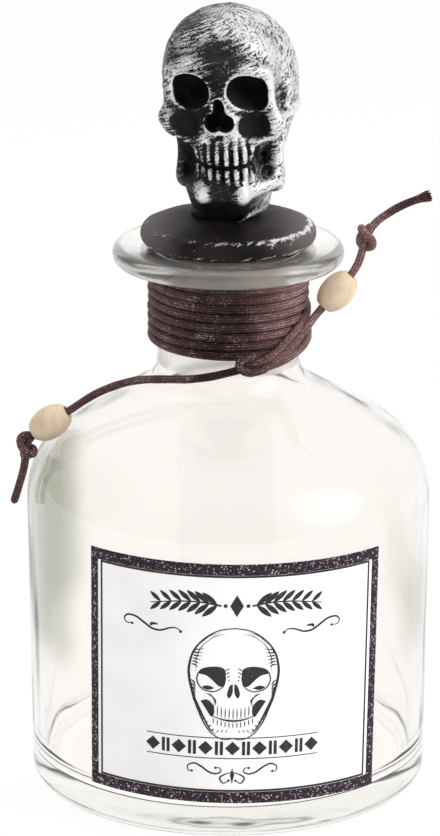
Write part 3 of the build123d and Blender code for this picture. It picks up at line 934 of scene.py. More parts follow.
def spaced(points, step):
    """The same line with points an even step apart."""
    lengths = lengths_along(points)
    at = np.linspace(0, lengths[-1], max(3, round(lengths[-1] / step) + 1))
    return np.stack([np.interp(at, lengths, points[:, k]) for k in range(3)], 1)


def frames_along(points):
    """Two sides at each point, square to the line and turned as little as possible between points."""
    tangents = np.gradient(points, axis=0)
    tangents /= np.linalg.norm(tangents, axis=1, keepdims=True)
    side = Vector(tangents[0]).orthogonal().normalized()
    sides = [np.array(side)]
    for before, after in zip(tangents, tangents[1:]):
        before, after = Vector(before), Vector(after)
        side = (before.rotation_difference(after) @ side).normalized()
        side = (side - after * side.dot(after)).normalized()
        sides.append(np.array(side))
    sides = np.array(sides)
    return sides, np.cross(tangents, sides)


def cord_mesh(points, radius, sides=14):
    """A tube along a line, with a map of the share of a turn round it and the millimetres along it."""
    count, lengths = len(points), lengths_along(points)
    first, second = (side[:, None] for side in frames_along(points))
    angles = np.linspace(0, full_turn, sides, endpoint=False)[:, None]
    out = first * np.cos(angles) + second * np.sin(angles)
    radii = np.broadcast_to(np.asarray(radius, float), count)[:, None, None]
    faces, lay = [], []
    for i, (here, there) in enumerate(zip(lengths, lengths[1:])):
        for k in range(sides):
            n = (k + 1) % sides
            faces.append((i * sides + k, i * sides + n, (i + 1) * sides + n, (i + 1) * sides + k))
            low, high = k / sides, (k + 1) / sides
            lay += [(low, here), (high, here), (high, there), (low, there)]
    for ring, order in ((0, -1), (count - 1, 1)):
        faces.append(tuple(range(ring * sides, (ring + 1) * sides))[::order])
        lay += [(0.0, lengths[ring])] * sides
    return (points[:, None] + out * radii).reshape(-1, 3), faces, lay


def cord_piece(name, meshes, material, replaced=()):
    """One piece of cord from one or more tubes."""
    points, faces = joined([mesh[:2] for mesh in meshes])
    piece = make_piece(name, points, faces, "bottle", "waxed_cord", material, replaced)
    layer = piece.data.uv_layers.new(name="lay")
    layer.data.foreach_set("uv", [value for _, _, lay in meshes for pair in lay for value in pair])
    return piece


def wander(count, size, steps, seed):
    """A slow random wander of that size along a line."""
    noise = np.random.default_rng(seed).uniform(-1, 1, max(4, steps))
    return size * np.interp(np.linspace(0, len(noise) - 1, count), np.arange(len(noise)), noise)


def build_winding(material):
    """The turns round the neck, a little uneven, and two of them crossing near the top. Their first
    few degrees are hidden under the knot."""
    points_a_turn, slack, end_share, uneven = 96, 0.08, 12, 0.2
    crossing_rise, crossing_out = 0.8, 0.45
    all_turns = turns + hidden_turn / 360
    low_z = lip_low_z - winding_top_gap - cord_r - all_turns * pitch
    count = round(all_turns * points_a_turn)
    share = np.linspace(0, 1, count)
    angle = math.radians(winding_start + hidden_turn) - share * all_turns * full_turn
    ends = np.clip(np.minimum(share, 1 - share) * end_share, 0, 1)
    crossing = hump(share, 0.86, 0.018) - hump(share, 0.90, 0.02)
    heights = low_z + share * all_turns * pitch + wander(count, uneven, steps=26, seed=3) * ends
    radii = neck_r + winding_clearance + cord_r + slack + wander(count, slack, steps=34, seed=5)
    radii = radii + crossing_out * np.abs(crossing)
    heights = heights + crossing_rise * crossing
    points = np.stack([radii * np.sin(angle), -radii * np.cos(angle), heights], 1)
    tube_r = winding_tube_r + wander(count, 0.03, steps=60, seed=8)
    cord_piece("neck_wraps", [cord_mesh(points, tube_r, sides=12)], material, ["neck_winding"])


def route_tube(name, route, seed, step=0.6, uneven=0.04, bumps=30):
    """A cord along a route, a little uneven in thickness."""
    line = spaced(smooth_line(name, route), step)
    return cord_mesh(line, cord_tube_r + wander(len(line), uneven, bumps, seed))


def build_neck_knot(material):
    """The strand from the knot to the winding's upper end, and the knot at the front of the neck: one
    strand turned back over the other."""
    strand = route_tube("strand", strand_route, seed=33)
    cord_piece("neck_loose_strand", [strand], material, ["neck_strand"])
    tubes = [
        route_tube("knot_turn", knot_turn_route, seed=31),
        route_tube("second_strand", second_strand_route, seed=32),
    ]
    cord_piece("neck_knot_wraps", tubes, material, ["neck_knot"])


def point_on(route, run, share):
    """The place on a run of a route at that share of it, and the run's direction."""
    start, end = np.array(route[run]), np.array(route[run + 1])
    return start + (end - start) * share, (end - start) / np.linalg.norm(end - start)


def build_end_knot(side, tail, material):
    """A knot drawn tight, along a smooth line through its own turns."""
    centre, _ = point_on(tail["route"], *tail["knot"])
    name = f"tail_knot_{side}"
    route = centre + np.array(tail["knot_turns"])
    tube = route_tube(name, route, seed=35, step=0.4, uneven=0.03, bumps=20)
    return cord_piece(name, [tube], material, [f"end_knot_{side}"])


def build_tuft(side, tail, line, material):
    """The short loose fibres of a cut end."""
    fibre_count, start_back, root_r, end_r = 56, 0.6, 0.24, 0.10
    end, along = line[-1], line[-1] - line[-3]
    along = along / np.linalg.norm(along)
    pick = np.random.default_rng(seed=tail["seed"])
    share = np.linspace(0, 1, 5)[:, None]
    meshes = []
    for _ in range(fibre_count):
        lean = np.cross(along, pick.normal(size=3))
        lean /= np.linalg.norm(lean)
        start = end - along * start_back + lean * pick.uniform(0.1, 1.25)
        reach = pick.uniform(0.8, 1.6)
        spread = pick.uniform(-0.1, 0.5)
        points = start + along * reach * share + lean * spread * share**2
        meshes.append(cord_mesh(points, np.linspace(root_r, end_r, len(points)), 6))
    return cord_piece(f"cord_tuft_{side}", meshes, material)


def build_tail(side, tail, material):
    """A free end of the cord. It ends rounded, or with its plies spread a little."""
    flare_length, uneven = 1.8, 0.04
    line = spaced(smooth_line(side, tail["route"]), 0.5)
    lengths = lengths_along(line)
    from_end = lengths[-1] - lengths
    radii = tail_tube_r + wander(len(line), uneven, steps=40, seed=tail["seed"])
    radii = radii + tail["flare"] * hump(from_end, 0, flare_length)
    if not tail["flare"]:
        close = np.clip(from_end / cord_r, 0.03, 1)
        radii = radii * np.sqrt(close * (2 - close))
    return line, cord_piece(f"cord_tail_{side}", [cord_mesh(line, radii)], material, [f"tail_{side}"])


def bead_profile():
    """A rounded barrel with a hole whose edge is broken."""
    half, hole_r, soft = bead_length / 2, bead_hole_d / 2, bead_mouth_r
    mouth_share = (hole_r + bead_mouth_width) * 2 / bead_d
    reach = half / math.sqrt(1 - mouth_share**2)
    heights = half * np.sin(np.linspace(-1, 1, 37) * math.pi / 2)
    outside = [(bead_d / 2 * math.sqrt(1 - (z / reach) ** 2), z) for z in heights]
    rim_r, rim_z = hole_r + soft * 0.35, half + soft * 0.1
    return outside + [(rim_r, rim_z), (hole_r, half - soft), (hole_r, soft - half), (rim_r, -rim_z)]


def build_bead(side, tail, material):
    centre, axis = point_on(tail["route"], *tail["bead"])
    vertices, faces = lathe(bead_profile(), segments=64, closed=True)
    turn = np.array(Vector((0, 0, 1)).rotation_difference(Vector(axis)).to_matrix())
    points = np.asarray(vertices) @ turn.T + centre
    replaced = [f"bead_{side}"]
    return make_piece(f"wood_bead_{side}", points, faces, f"{side}_bead", "bead_wood", material, replaced)


def build_cords():
    material, wood = cord_finish(), bead_finish()
    build_winding(material)
    build_neck_knot(material)
    for side, tail in tails.items():
        line, piece = build_tail(side, tail, material)
        pieces = [build_bead(side, tail, wood), build_end_knot(side, tail, material)]
        if tail["flare"]:
            pieces.append(build_tuft(side, tail, line, material))
        length = float(lengths_along(line)[-1])
        tuple(np.array(tail["route"][0]) * MM)


# Cork and disc

def build_cork():
    """The cork, with a hole for the disc's stem."""
    top_r = bore_r - cork_clearance
    low_r = top_r - cork_taper
    low_z = lip_top_z - cork_length
    hole_r = disc_spigot_r + glue_gap
    hole_z = lip_top_z - disc_spigot_length - glue_gap
    chamfer_z = low_z + cork_chamfer
    side = [
        (low_r + cork_taper * s, chamfer_z + (cork_length - cork_chamfer) * s)
        for s in (0, *np.linspace(0.04, 1, 26))
    ]
    profile = [(0, low_z), (low_r / 2, low_z), (low_r - cork_chamfer, low_z), *side]
    profile += [(hole_r, lip_top_z), (hole_r, hole_z), (0, hole_z)]
    mesh = lathe(profile, segments=96)
    make_piece("cork_body", *mesh, "stopper", "cork", cork_finish(), ["cork_plug"])


def build_disc():
    """The cast disc under the skull, with a worn rim and a stem in the cork. The brush left silver along
    its upper edge and low on its side. More silver is put towards the right, where the key light falls:
    painted light."""
    chip_depth, chip_share = 0.06, 0.004
    bare, upper_silver, upper_painted_light, lower_silver, lower_painted_light = -0.70, 1.12, 0.45, 0.95, 0.3
    edge = disc_r - disc_edge_r
    profile = [(0, lip_top_z - disc_spigot_length), (disc_spigot_r, lip_top_z - disc_spigot_length)]
    profile += [(disc_spigot_r, lip_top_z)]
    profile += arc_points((edge, lip_top_z + disc_edge_r), disc_edge_r, -90, 0)
    profile += arc_points((edge, lip_top_z + disc_edge_z - disc_edge_r), disc_edge_r, 0, 90)
    profile += [
        (edge + (disc_flat_r - edge) * s, lip_top_z + disc_edge_z + disc_dome * math.sin(s * math.pi / 2))
        for s in np.linspace(0.1, 1, 10)
    ]
    vertices, faces = lathe(tidy_profile([*profile, (0, disc_top_z)]), segments=160)
    points = np.array(vertices, float)
    angle = np.arctan2(points[:, 1], points[:, 0])
    wobble = np.abs(sum(chip_depth * math.sin(k) * np.cos(k * angle + k * k) for k in range(2, 9)))
    outer = np.clip((np.hypot(points[:, 0], points[:, 1]) - disc_flat_r) / (disc_r - disc_flat_r), 0, 1)
    worn = outer * np.clip((points[:, 2] - lip_top_z) / disc_edge_r, 0, 1)
    points[:, 2] -= wobble * worn
    points[:, :2] *= (1 - wobble * chip_share * worn)[:, None]
    # The third colour is the black's painted paler sides, a painted reflection.
    finish = resin_finish(
        "cast_resin_disc", (0.007, 0.005, 0.006), (0.020, 0.014, 0.015), (0.105, 0.084, 0.088),
        (0.62, 0.60, 0.60),
    )
    piece = make_piece("cast_disc", points, faces, "stopper", "cast_resin", finish, ["stopper_disc"])
    radius, height = np.hypot(points[:, 0], points[:, 1]), points[:, 2] - lip_top_z
    upper = hump(radius, edge + 1.0, 1.1) * (height > disc_edge_z / 2)
    lower = hump(height, 1.2, 0.5) * (radius > edge)
    # Painted light: more silver towards the right, the key light's side.
    toward_key_side = points[:, 0] / disc_r
    share = bare + upper * (upper_silver + upper_painted_light * toward_key_side)
    share += lower * (lower_silver + lower_painted_light * toward_key_side)
    store_values(piece, "silver_share", share)


# Skull, as a solid field of signed distances that is turned into a mesh

voxel = 0.4
skull_box = (-20.5, -23.0, -2.0), (20.5, 26.5, 56.0)
far_off = 50.0


def soft_min(first, second, soft):
    """The lower of two distances, with a soft seam where they are about the same."""
    mix = np.clip(0.5 + 0.5 * (first - second) / soft, 0, 1)
    return first * (1 - mix) + second * mix - soft * mix * (1 - mix)


class Field:
    """Signed distances on a grid, below zero inside. Shapes are added and cut with soft seams."""

    def __init__(self, low, high, step):
        self.low, self.step = np.array(low, float), step
        counts = np.ceil((np.array(high) - self.low) / step).astype(int) + 1
        axes = [self.low[k] + step * np.arange(counts[k]) for k in range(3)]
        self.x, self.y, self.z = np.meshgrid(*axes, indexing="ij", sparse=True)
        self.value, self.cuts, self.rims = (np.full(counts, far_off, np.float32) for _ in range(3))

    def ball(self, centre, half, tilt=(0, 0, 0)):
        """Distance to an ellipsoid, good near its surface. Tilt is in degrees round X, Y and Z."""
        x, y, z = self.x - centre[0], self.y - centre[1], self.z - centre[2]
        if any(tilt):
            about = [Matrix.Rotation(math.radians(angle), 3, axis) for angle, axis in zip(tilt, "XYZ")]
            turn = np.array((about[2] @ about[1] @ about[0]).transposed())
            x, y, z = (turn[k, 0] * x + turn[k, 1] * y + turn[k, 2] * z for k in range(3))
        a = np.sqrt((x / half[0]) ** 2 + (y / half[1]) ** 2 + (z / half[2]) ** 2)
        b = np.sqrt((x / half[0] ** 2) ** 2 + (y / half[1] ** 2) ** 2 + (z / half[2] ** 2) ** 2)
        return a * (a - 1) / np.maximum(b, 1e-6)

    def rod(self, start, end, radius, end_radius):
        start, end = np.array(start, float), np.array(end, float)
        run = end - start
        x, y, z = self.x - start[0], self.y - start[1], self.z - start[2]
        share = np.clip((x * run[0] + y * run[1] + z * run[2]) / (run @ run), 0, 1)
        gap = np.sqrt((x - run[0] * share) ** 2 + (y - run[1] * share) ** 2 + (z - run[2] * share) ** 2)
        return gap - (radius + (end_radius - radius) * share)

    def add(self, shape, soft):
        self.value = soft_min(self.value, shape, soft).astype(np.float32)

    def cut(self, shape, soft, dark=True):
        self.value = -soft_min(-self.value, shape, soft).astype(np.float32)
        if dark:
            self.cuts = np.minimum(self.cuts, shape).astype(np.float32)

    def rim(self, shape, height, width):
        """Raises the surface by a ridge along the edge of a shape."""
        self.value = (self.value - height * hump(shape, width, width)).astype(np.float32)
        self.rims = np.minimum(self.rims, shape).astype(np.float32)


def box_blur(values, reach):
    """The mean over a cube that reaches that many cells each way."""
    count = 2 * reach + 1
    for axis in range(3):
        before = np.repeat(values.take([0], axis), reach + 1, axis)
        after = np.repeat(values.take([-1], axis), reach, axis)
        sums = np.cumsum(np.concatenate([before, values, after], axis), axis, dtype=np.float64)
        upper = sums.take(range(count, sums.shape[axis]), axis)
        lower = sums.take(range(0, sums.shape[axis] - count), axis)
        values = ((upper - lower) / count).astype(np.float32)
    return values


def mixed(part, value_at):
    """The values at the eight corners of each point's cell, mixed by how near each is."""
    total = 0
    for corner in np.ndindex(2, 2, 2):
        weight = np.prod([part[:, k] if corner[k] else 1 - part[:, k] for k in range(3)], axis=0)
        total = total + weight * value_at(corner)
    return total


def sampled(field, grid, points):
    """Values of a grid at points."""
    place = (points - field.low) / field.step
    cell = np.clip(np.floor(place).astype(int), 0, np.array(grid.shape) - 2)
    return mixed(place - cell, lambda corner: grid[tuple((cell + corner).T)])


def lattice_noise(points, size, seed):
    """Smooth random values from -1 to 1 whose bumps are about that many millimetres apart."""
    cells, beyond = 32, 100
    pick = np.random.default_rng(seed).uniform(-1, 1, (cells, cells, cells))
    place = points / size + beyond
    cell = np.floor(place).astype(int)
    part = place - cell
    return mixed(part * part * (3 - 2 * part), lambda corner: pick[tuple((cell + corner).T % cells)])


def halves(axis):
    """Slices for all cells but the last, and all but the first, along an axis."""
    low, high = [slice(None)] * 3, [slice(None)] * 3
    low[axis], high[axis] = slice(0, -1), slice(1, None)
    return tuple(low), tuple(high)


def surface_of(field):
    """A mesh of the field's zero surface, with one vertex in each cell that it crosses."""
    value, inside = field.value, field.value < 0
    shape = np.array(value.shape)
    total = np.zeros((*(shape - 1), 3))
    crossings = np.zeros(shape - 1, int)
    for axis in range(3):
        others = [k for k in range(3) if k != axis]
        a, b = (value[half] for half in halves(axis))
        crossed = (a < 0) != (b < 0)
        share = np.where(crossed, a / np.where(crossed, a - b, 1), 0)
        for corner in np.ndindex(2, 2):
            part = [slice(None)] * 3
            for k, c in zip(others, corner):
                part[k] = slice(c, shape[k] - 1 + c)
            hit = crossed[tuple(part)]
            crossings += hit
            total[..., axis] += np.where(hit, share[tuple(part)], 0)
            for k, c in zip(others, corner):
                total[..., k] += hit * c
    used = crossings > 0
    number = np.full(used.shape, -1)
    number[used] = np.arange(used.sum())
    points = field.low + field.step * (np.argwhere(used) + total[used] / crossings[used][:, None])
    faces = []
    for axis, (first, second) in enumerate(((1, 2), (2, 0), (0, 1))):
        low, high = halves(axis)
        where = np.argwhere(inside[low] != inside[high])
        for k in (first, second):
            where = where[(where[:, k] > 0) & (where[:, k] < shape[k] - 1)]
        corners = []
        for back_first, back_second in ((1, 1), (0, 1), (0, 0), (1, 0)):
            cell = where.copy()
            cell[:, first] -= back_first
            cell[:, second] -= back_second
            corners.append(number[tuple(cell.T)])
        quads = np.stack(corners, 1)
        inward = ~inside[low][tuple(where.T)]
        quads[inward] = quads[inward][:, ::-1]
        faces.append(quads)
    return points, np.concatenate(faces).tolist()


# The skull's shapes, round the middle of the disc's top. A row off the middle line stands for both
# sides. Balls: centre, half sizes, softness and, where it isn't upright, tilt in degrees. Rods: ends,
# radius at each, softness.

vault_balls = (
    ((0, 3.6, 34.0), (17.0, 20.4, 20.2), 0.5),
    ((5.0, 5.0, 38.0), (11.4, 14.5, 13.6), 2),
    ((6.0, -8.5, 43.0), (7.5, 8.5, 7.5), 3),
    ((0, -5.0, 38.5), (13.8, 13.4, 13.2), 2.5),
    ((0, 8.0, 19.5), (11.6, 12.2, 11.5), 5),
)
face_balls = (
    ((0, -9.5, 27.5), (10.2, 9.6, 9.0), 2.5),
    ((0, -16.8, 37.6), (2.2, 2.4, 4.4), 1.8, (-14, 0, 0)),
    ((0, -17.4, 42.0), (4.4, 2.2, 2.4), 2.2),
    ((7.2, -16.4, 42.2), (6.2, 2.5, 1.9), 1.8, (0, 5, 14)),
    ((12.4, -11.8, 28.8), (3.5, 4.4, 4.4), 2, (0, 12, 24)),
)
face_rods = (
    ((12.2, -13.6, 40.5), (12.7, -12.6, 32.0), 1.6, 2.0, 1.6),
    ((14.4, -9.5, 29.4), (15.4, 0.0, 29.2), 1.6, 1.25, 1.6),
    ((15.4, 0.0, 29.2), (14.8, 7.0, 29.0), 1.3, 1.5, 1.6),
    ((12.2, -12.6, 25.8), (8.8, -14.6, 23.6), 1.6, 1.2, 2),
)
jaw_balls = (
    ((0, -9.4, 21.5), (8.2, 9.4, 7.5), 2.2),
    ((0, -9.0, 14.5), (7.9, 9.0, 4.6), 1.6),
    ((0, -14.6, 11.6), (6.6, 4.0, 3.9), 2.0),
    ((4.8, -17.0, 11.0), (1.9, 1.7, 3.0), 1.4, (0, -10, 0)),
    ((11.0, -2.6, 13.0), (2.3, 4.6, 4.0), 1.8, (12, 0, 0)),
    ((0, -1.0, 12.5), (9.0, 9.5, 8.0), 3),
)
jaw_rods = (
    ((4.5, -15.4, 10.4), (10.9, -6.2, 12.0), 2.4, 2.3, 2),
    ((11.0, -5.4, 12.0), (11.9, -1.0, 26.5), 2.4, 2.0, 2),
)
root_ball = ((-2.4, 4.5, 12.0), (11.6, 12.0, 18.0), 1.6)
root_fold = ((6.2, 1.6, 2.5), (2.6, -6.9, 0.6), 0.8, 0.5, 1.0)
socket_balls = (
    ((7.1, -17.4, 36.8), (4.6, 8.2, 4.5), 0.5, (6, 4, -10)),
    ((8.4, -17.6, 35.0), (3.2, 7.0, 3.4), 0.5, (0, 0, -10)),
)
nostril_ball = ((1.7, -18.4, 28.9), (1.8, 5.0, 2.0), 1.2, (0, 12, 0))
nose_top_ball = ((0, -18.4, 32.0), (1.2, 4.6, 3.2), 1.2)
nose_spine = ((0, -16.0, 26.9), (0, -18.6, 27.9), 0.8, 0.45, 0.8)
dark_hollows = (
    ((9.1, -17.6, 27.8), (3.8, 3.9, 3.7), 1.4, (0, 25, 0)),
    ((9.9, -13.0, 19.0), (2.2, 5.0, 4.6), 1.4, (0, 12, 0)),
)
light_hollows = (
    ((14.4, -6.4, 33.6), (1.4, 3.0, 2.4), 1.2),
    ((16.6, -9.5, 37.0), (3.2, 6.0, 7.5), 2.2, (0, 6, 14)),
    ((10.2, -11.0, 15.0), (1.5, 4.6, 2.0), 1.2),
)
vault_shift = -0.6
socket_shift = 0.5
nose_shift = 0.5
socket_rim = (0.35, 0.45)
nose_rim = (0.45, 0.45)
skull_lean = -0.05
lean_z = 32.0

tooth_count = 10
tooth_step = 16.5
tooth_middle = (tooth_count - 1) / 2
arch_middle = (0.9, -9.4)
arch_half = (7.7, 9.8)
tooth_half = (0.92, 1.0)
tooth_gap_r = 0.32
bite_z, bite_curve, bite_half = 17.7, 0.012, 0.16
upper_tooth_top, lower_tooth_low = 22.2, 13.9


def sides_of(place):
    """Both sides for a place off the middle line, one for a place on it."""
    return (1, -1) if place[0] else (1,)


def balls_of(field, row):
    """The distances to a row's ball, one for each side."""
    centre, half, _, *tilts = row
    tilt = tilts[0] if tilts else (0, 0, 0)
    for side in sides_of(centre):
        place, turned = (side * centre[0], *centre[1:]), (tilt[0], side * tilt[1], side * tilt[2])
        yield field.ball(place, half, turned)


def add_balls(field, rows):
    for row in rows:
        for shape in balls_of(field, row):
            field.add(shape, row[2])


def add_rods(field, rows):
    for start, end, radius, end_radius, soft in rows:
        for side in sides_of(start):
            ends = [(side * place[0], *place[1:]) for place in (start, end)]
            field.add(field.rod(*ends, radius, end_radius), soft)


def cut_hollows(field):
    """Eye sockets, nose, cheeks, temples and the gap behind the cheekbones."""
    field.x = field.x - socket_shift
    sockets = [np.minimum(*pair) for pair in zip(*(balls_of(field, row) for row in socket_balls))]
    field.x = field.x + socket_shift - nose_shift
    nose = next(balls_of(field, nose_top_ball))
    for shape in balls_of(field, nostril_ball):
        nose = soft_min(nose, shape, nostril_ball[2])
    field.x = field.x + nose_shift
    for shape in sockets:
        field.rim(shape, *socket_rim)
    field.rim(nose, *nose_rim)
    for shape in (*sockets, nose):
        field.cut(shape, 0.5)
    add_rods(field, [nose_spine])
    for rows, dark in ((dark_hollows, True), (light_hollows, False)):
        for row in rows:
            for shape in balls_of(field, row):
                field.cut(shape, row[2], dark)


def arch_place(number):
    """The place on the dental arch of a tooth, and how far it is turned."""
    angle = math.radians((number - tooth_middle) * tooth_step)
    x = arch_middle[0] + arch_half[0] * math.sin(angle)
    return x, arch_middle[1] - arch_half[1] * math.cos(angle), angle


def add_teeth(field):
    """Both rows of teeth, with ridges over their roots, and dark lines between them."""
    upper_z, upper_half = (bite_z + upper_tooth_top) / 2, (upper_tooth_top - bite_z) / 2
    lower_z, lower_half = (bite_z + lower_tooth_low) / 2, (bite_z - lower_tooth_low) / 2
    inner_share, row_rise, tooth_soft, root_soft, gap_out, gap_soft = 0.92, 0.1, 0.25, 0.7, 0.5, 0.3
    for number in range(tooth_count):
        x, y, angle = arch_place(number)
        tilt = (0, 0, math.degrees(angle))
        away = abs(number - tooth_middle)
        rise = row_rise * away**1.5
        in_x, in_y = [middle + (place - middle) * inner_share for middle, place in zip(arch_middle, (x, y))]
        field.add(field.ball((x, y, upper_z + rise), (*tooth_half, upper_half), tilt), tooth_soft)
        root = (x, y + 0.2, 21.8), (in_x, in_y, 26.4 - 0.4 * away)
        field.add(field.rod(*root, 0.8, 0.55), root_soft)
        if 0 < number < tooth_count - 1:
            tooth = field.ball((x, y + 0.35, lower_z + rise), (*tooth_half, lower_half), tilt)
            field.add(tooth, tooth_soft)
            root = (x, y + 0.5, 14.2), (in_x, in_y + 0.8, 11.8)
            field.add(field.rod(*root, 0.7, 0.4), root_soft)
    for number in range(tooth_count - 1):
        x, y, angle = arch_place(number + 0.5)
        x, y = x + gap_out * math.sin(angle), y - gap_out * math.cos(angle)
        gap = field.rod((x, y, lower_tooth_low), (x, y, upper_tooth_top + 0.8), tooth_gap_r, tooth_gap_r)
        field.cut(gap, gap_soft)
    across, back = field.x - arch_middle[0], field.y - arch_middle[1]
    bite = np.abs(field.z - bite_z - bite_curve * across**2) - bite_half
    front = np.sqrt((across / (arch_half[0] + 1.2)) ** 2 + (back / (arch_half[1] + 1.4)) ** 2) - 1
    field.cut(np.maximum(bite, np.maximum(-(front + 0.14) * 9, front * 9)), 0.25)


def skull_field():
    """The whole skull as distances."""
    field = Field(*skull_box, voxel)
    field.x = field.x - vault_shift
    add_balls(field, vault_balls)
    field.x = field.x + vault_shift
    add_balls(field, face_balls)
    add_rods(field, face_rods)
    add_balls(field, jaw_balls)
    add_rods(field, jaw_rods)
    *root, soft = root_ball
    field.add(field.ball(*root), soft)
    *fold, soft = root_fold
    field.add(field.rod(*fold), soft)
    cut_hollows(field)
    add_teeth(field)
    return field


# Where the brush left more or less silver, as seen from the front, and where shade is painted in as less
# silver under the chin: middle in X and Z above the disc, half sizes, and how much is added to the share.
brush_and_shade_marks = (
    ((-2.0, 44.5), (6.4, 6.4), -0.60),
    ((-2.6, 36.5), (2.0, 5.0), -0.45),
    ((-9.5, 44.5), (3.4, 2.0), 0.40),
    ((-15.5, 37.0), (2.2, 8.0), 0.30),
    ((0.0, 51.0), (7.0, 3.8), 0.45),
    ((-8.2, 17.0), (0.8, 5.5), 0.95),
    ((-6.0, 24.2), (1.2, 1.4), 0.80),
    ((-14.5, 26.8), (2.2, 3.2), -0.35),
    ((-14.8, 34.5), (1.2, 3.4), -0.35),
    ((-9.5, 30.2), (4.6, 1.8), -0.55),
    ((-6.8, 31.5), (2.2, 3.4), -0.50),
    ((5.4, 31.6), (3.6, 1.3), -0.75),
    ((4.4, 28.6), (0.8, 3.0), -0.35),
    ((13.4, 15.0), (1.5, 6.0), -0.35),
    ((-1.8, 10.5), (2.9, 4.6), -0.85),
    ((-10.2, 15.0), (2.8, 8.5), -0.65),
    ((-3.9, 17.5), (2.8, 4.5), 0.25),
    # Painted shade: the root under the chin made black where it lies in shade.
    ((-1.0, 2.5), (5.0, 3.6), -1.80),
    ((4.6, 11.0), (1.8, 3.0), 0.45),
    ((-6.4, 9.5), (1.3, 3.0), 0.60),
)


def silver_shares(points, facing, detail, hollow, rim):
    """How much of each place is silver. Places that face right and up, towards the light, get more: painted
    light. Some places are left black.
    """
    base, facing_light_right, facing_light_above, at_rim, in_hollow, mark_back_y = 0.36, 0.42, 0.02, 0.85, -1.5, 2
    x, y, z = points[:, 0], points[:, 1], points[:, 2] - disc_top_z
    # Painted light: more silver, so brighter, on faces turned to the key light at the right and above.
    share = base + facing_light_right * facing[:, 0] + facing_light_above * facing[:, 2]
    share += np.clip(detail, -0.5, 0.5) + at_rim * rim
    for (mark_x, mark_z), (half_x, half_z), amount in brush_and_shade_marks:
        share += amount * hump(x, mark_x, half_x) * hump(z, mark_z, half_z) * (y < mark_back_y)
    return share + in_hollow * hollow


def build_skull():
    """The cast skull, slightly pitted at the sides and leaning a little, on the disc."""
    soft_reach, soft_weight, wide_reach, wide_weight = 1.3, 1.5, 3.2, 0.28
    hollow_depth, rim_middle, rim_width, half_width = 0.5, 0.33, 0.23, 17
    pit_size, pit_level, pit_silver = 1.1, 0.25, -0.7
    field = skull_field()
    soft, wide = (box_blur(field.value, max(1, round(reach / voxel))) for reach in (soft_reach, wide_reach))
    field.value = np.maximum(field.value, -field.z).astype(np.float32)
    points, faces = surface_of(field)
    detail = sampled(field, soft, points) * soft_weight + sampled(field, wide, points) * wide_weight
    facing = np.stack([sampled(field, slope, points) for slope in np.gradient(soft)], 1)
    facing /= np.maximum(np.linalg.norm(facing, axis=1, keepdims=True), 1e-6)
    hollow = np.clip(1 - sampled(field, field.cuts, points) / hollow_depth, 0, 1)
    rim = hump(sampled(field, field.rims, points), rim_middle, rim_width)
    at_side = np.clip(np.abs(points[:, 0]) / half_width - 0.5, 0, 1)
    pitted = at_side * np.clip(lattice_noise(points, pit_size, seed=4) - pit_level, 0, 1)
    dents = 0.08 * lattice_noise(points, 2.6, seed=5) + 0.04 * lattice_noise(points, 1.2, seed=6)
    above = np.clip(points[:, 2] / 2, 0, 1)
    points = points + facing * ((dents - pitted) * above * (1 - hollow))[:, None]
    points[:, 0] += skull_lean * (points[:, 2] - lean_z) * above
    turn = np.array(Matrix.Rotation(math.radians(-skull_turn), 3, "Z"))
    placed = points @ turn.T + (skull_shift, 0, disc_top_z)
    # The third colour is the black's painted paler sides, a painted reflection.
    finish = resin_finish(
        "cast_resin_skull", (0.004, 0.004, 0.005), (0.012, 0.0115, 0.0125), (0.060, 0.053, 0.058),
        (0.20, 0.20, 0.225),
    )
    piece = make_piece("cast_skull", placed, faces, "stopper", "cast_resin", finish, ["skull_finial"])
    shares = silver_shares(placed, facing @ turn.T, detail, hollow, rim) + pitted * pit_silver
    store_values(piece, "silver_share", shares)


# Stage

key_place = (0.95, -0.42, 0.62)
lamp_target = (0, 0, 0.11)


def aim(holder, place, direction):
    """Puts a lamp or camera at a place, looking in a direction."""
    holder.location = place
    holder.rotation_mode = "QUATERNION"
    holder.rotation_quaternion = direction.to_track_quat("-Z", "Y")


def build_floor():
    """A grey floor that takes shadows, and that the camera and mirrored or bent rays see nearly white."""
    size, camera_level, mirror_level = 3.0, 0.92, 0.98
    corners = [(-size, -size, 0), (size, -size, 0), (size, size, 0), (-size, size, 0)]
    mesh = bpy.data.meshes.new("floor")
    mesh.from_pydata(corners, [], [(0, 1, 2, 3)])
    finish = Finish("floor", Base_Color=(0.9, 0.9, 0.9), Roughness=0.9, Specular_IOR_Level=0.1)
    path = finish.node("LightPath").outputs
    mirrored = finish.math("MAXIMUM", path["Is Glossy Ray"], path["Is Transmission Ray"])
    seen = finish.math(
        "MAXIMUM", finish.times(path["Is Camera Ray"], camera_level), finish.times(mirrored, mirror_level)
    )
    white = finish.node("Emission", {"Color": (1, 1, 1, 1), "Strength": 1.0}).outputs["Emission"]
    both = finish.node("MixShader", {"Fac": seen, 1: finish.shader.outputs["BSDF"], 2: white})
    finish.links.new(both.outputs["Shader"], finish.output.inputs["Surface"])
    mesh.materials.append(finish.material)
    in_scene("floor", mesh)


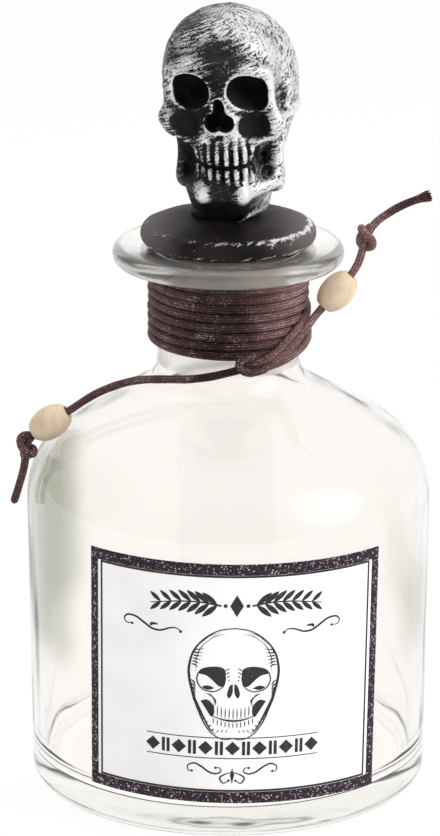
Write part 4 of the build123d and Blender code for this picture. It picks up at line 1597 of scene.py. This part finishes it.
def build_world():
    """A plain grey world for light. Camera rays see it white, and so do transmission rays, a little less
    towards the front. Glossy rays see a white studio with a dark front, darker sides and a soft glow
    where the key light is."""
    light_level, white_level, through_level = 0.6, 1.0, 0.92
    front_level, left_level, right_level, glow_level = 0.14, 0.12, 0.6, 3.4
    world = bpy.data.worlds.new("studio")
    bpy.context.scene.world = world
    sky = Nodes(world)
    path = sky.node("LightPath").outputs
    place = sky.node("TexCoord").outputs["Generated"]
    x, y, _ = sky.split(place)
    to_key = (Vector(key_place) - Vector(lamp_target)).normalized()
    near_key = sky.node("VectorMath", {0: place, 1: to_key}, operation="DOT_PRODUCT").outputs["Value"]
    right = sky.span(x, 0.55, 0.95, white_level, right_level)
    sides = sky.span(x, -0.95, -0.35, left_level, right)
    studio = sky.span(y, -0.95, -0.45, front_level, sides)
    mirrored = sky.span(near_key, 0.90, 0.995, studio, glow_level)
    through = sky.span(y, -0.95, -0.45, through_level, white_level)
    level = sky.span(path["Is Camera Ray"], 0.0, 1.0, light_level, white_level)
    level = sky.span(path["Is Glossy Ray"], 0.0, 1.0, level, mirrored)
    level = sky.span(path["Is Transmission Ray"], 0.0, 1.0, level, through)
    background = sky.nodes["Background"].inputs
    sky.feed(level, background["Strength"])
    sky.feed((1, 1, 1, 1), background["Color"])


def add_lamp(name, place, size, power):
    """A soft lamp that mirrors and glass don't show. The world stands for it there."""
    lamp = bpy.data.lights.new(name, "AREA")
    lamp.shape = "RECTANGLE"
    lamp.size, lamp.size_y = size
    lamp.energy = power
    holder = in_scene(name, lamp)
    aim(holder, place, Vector(lamp_target) - Vector(place))
    holder.visible_glossy = False
    holder.visible_transmission = False


def build_lamps():
    add_lamp("key", key_place, (0.4, 0.6), 11.0)
    add_lamp("fill", (-0.7, -0.5, 0.5), (0.4, 0.7), 2.2)
    add_lamp("top", (0.05, 0.25, 1.0), (0.5, 0.5), 4.5)


def build_camera():
    """The camera of the photo: a long lens, a little above the bottle."""
    down = math.radians(17.5)
    camera = bpy.data.cameras.new("camera")
    camera.lens = 201.53
    camera.sensor_width = 36
    camera.clip_start, camera.clip_end = 0.01, 20
    holder = in_scene("camera", camera)
    aim(holder, (-0.0021, -1.14446, 0.45655), Vector((0, math.cos(down), -math.sin(down))))
    bpy.context.scene.camera = holder


build_camera()
build_cords()
build_glass()
build_paper()
build_band()
build_print()
build_cork()
build_disc()
build_skull()
build_floor()
build_world()
build_lamps()
bpy.context.scene.view_settings.view_transform = "Standard"
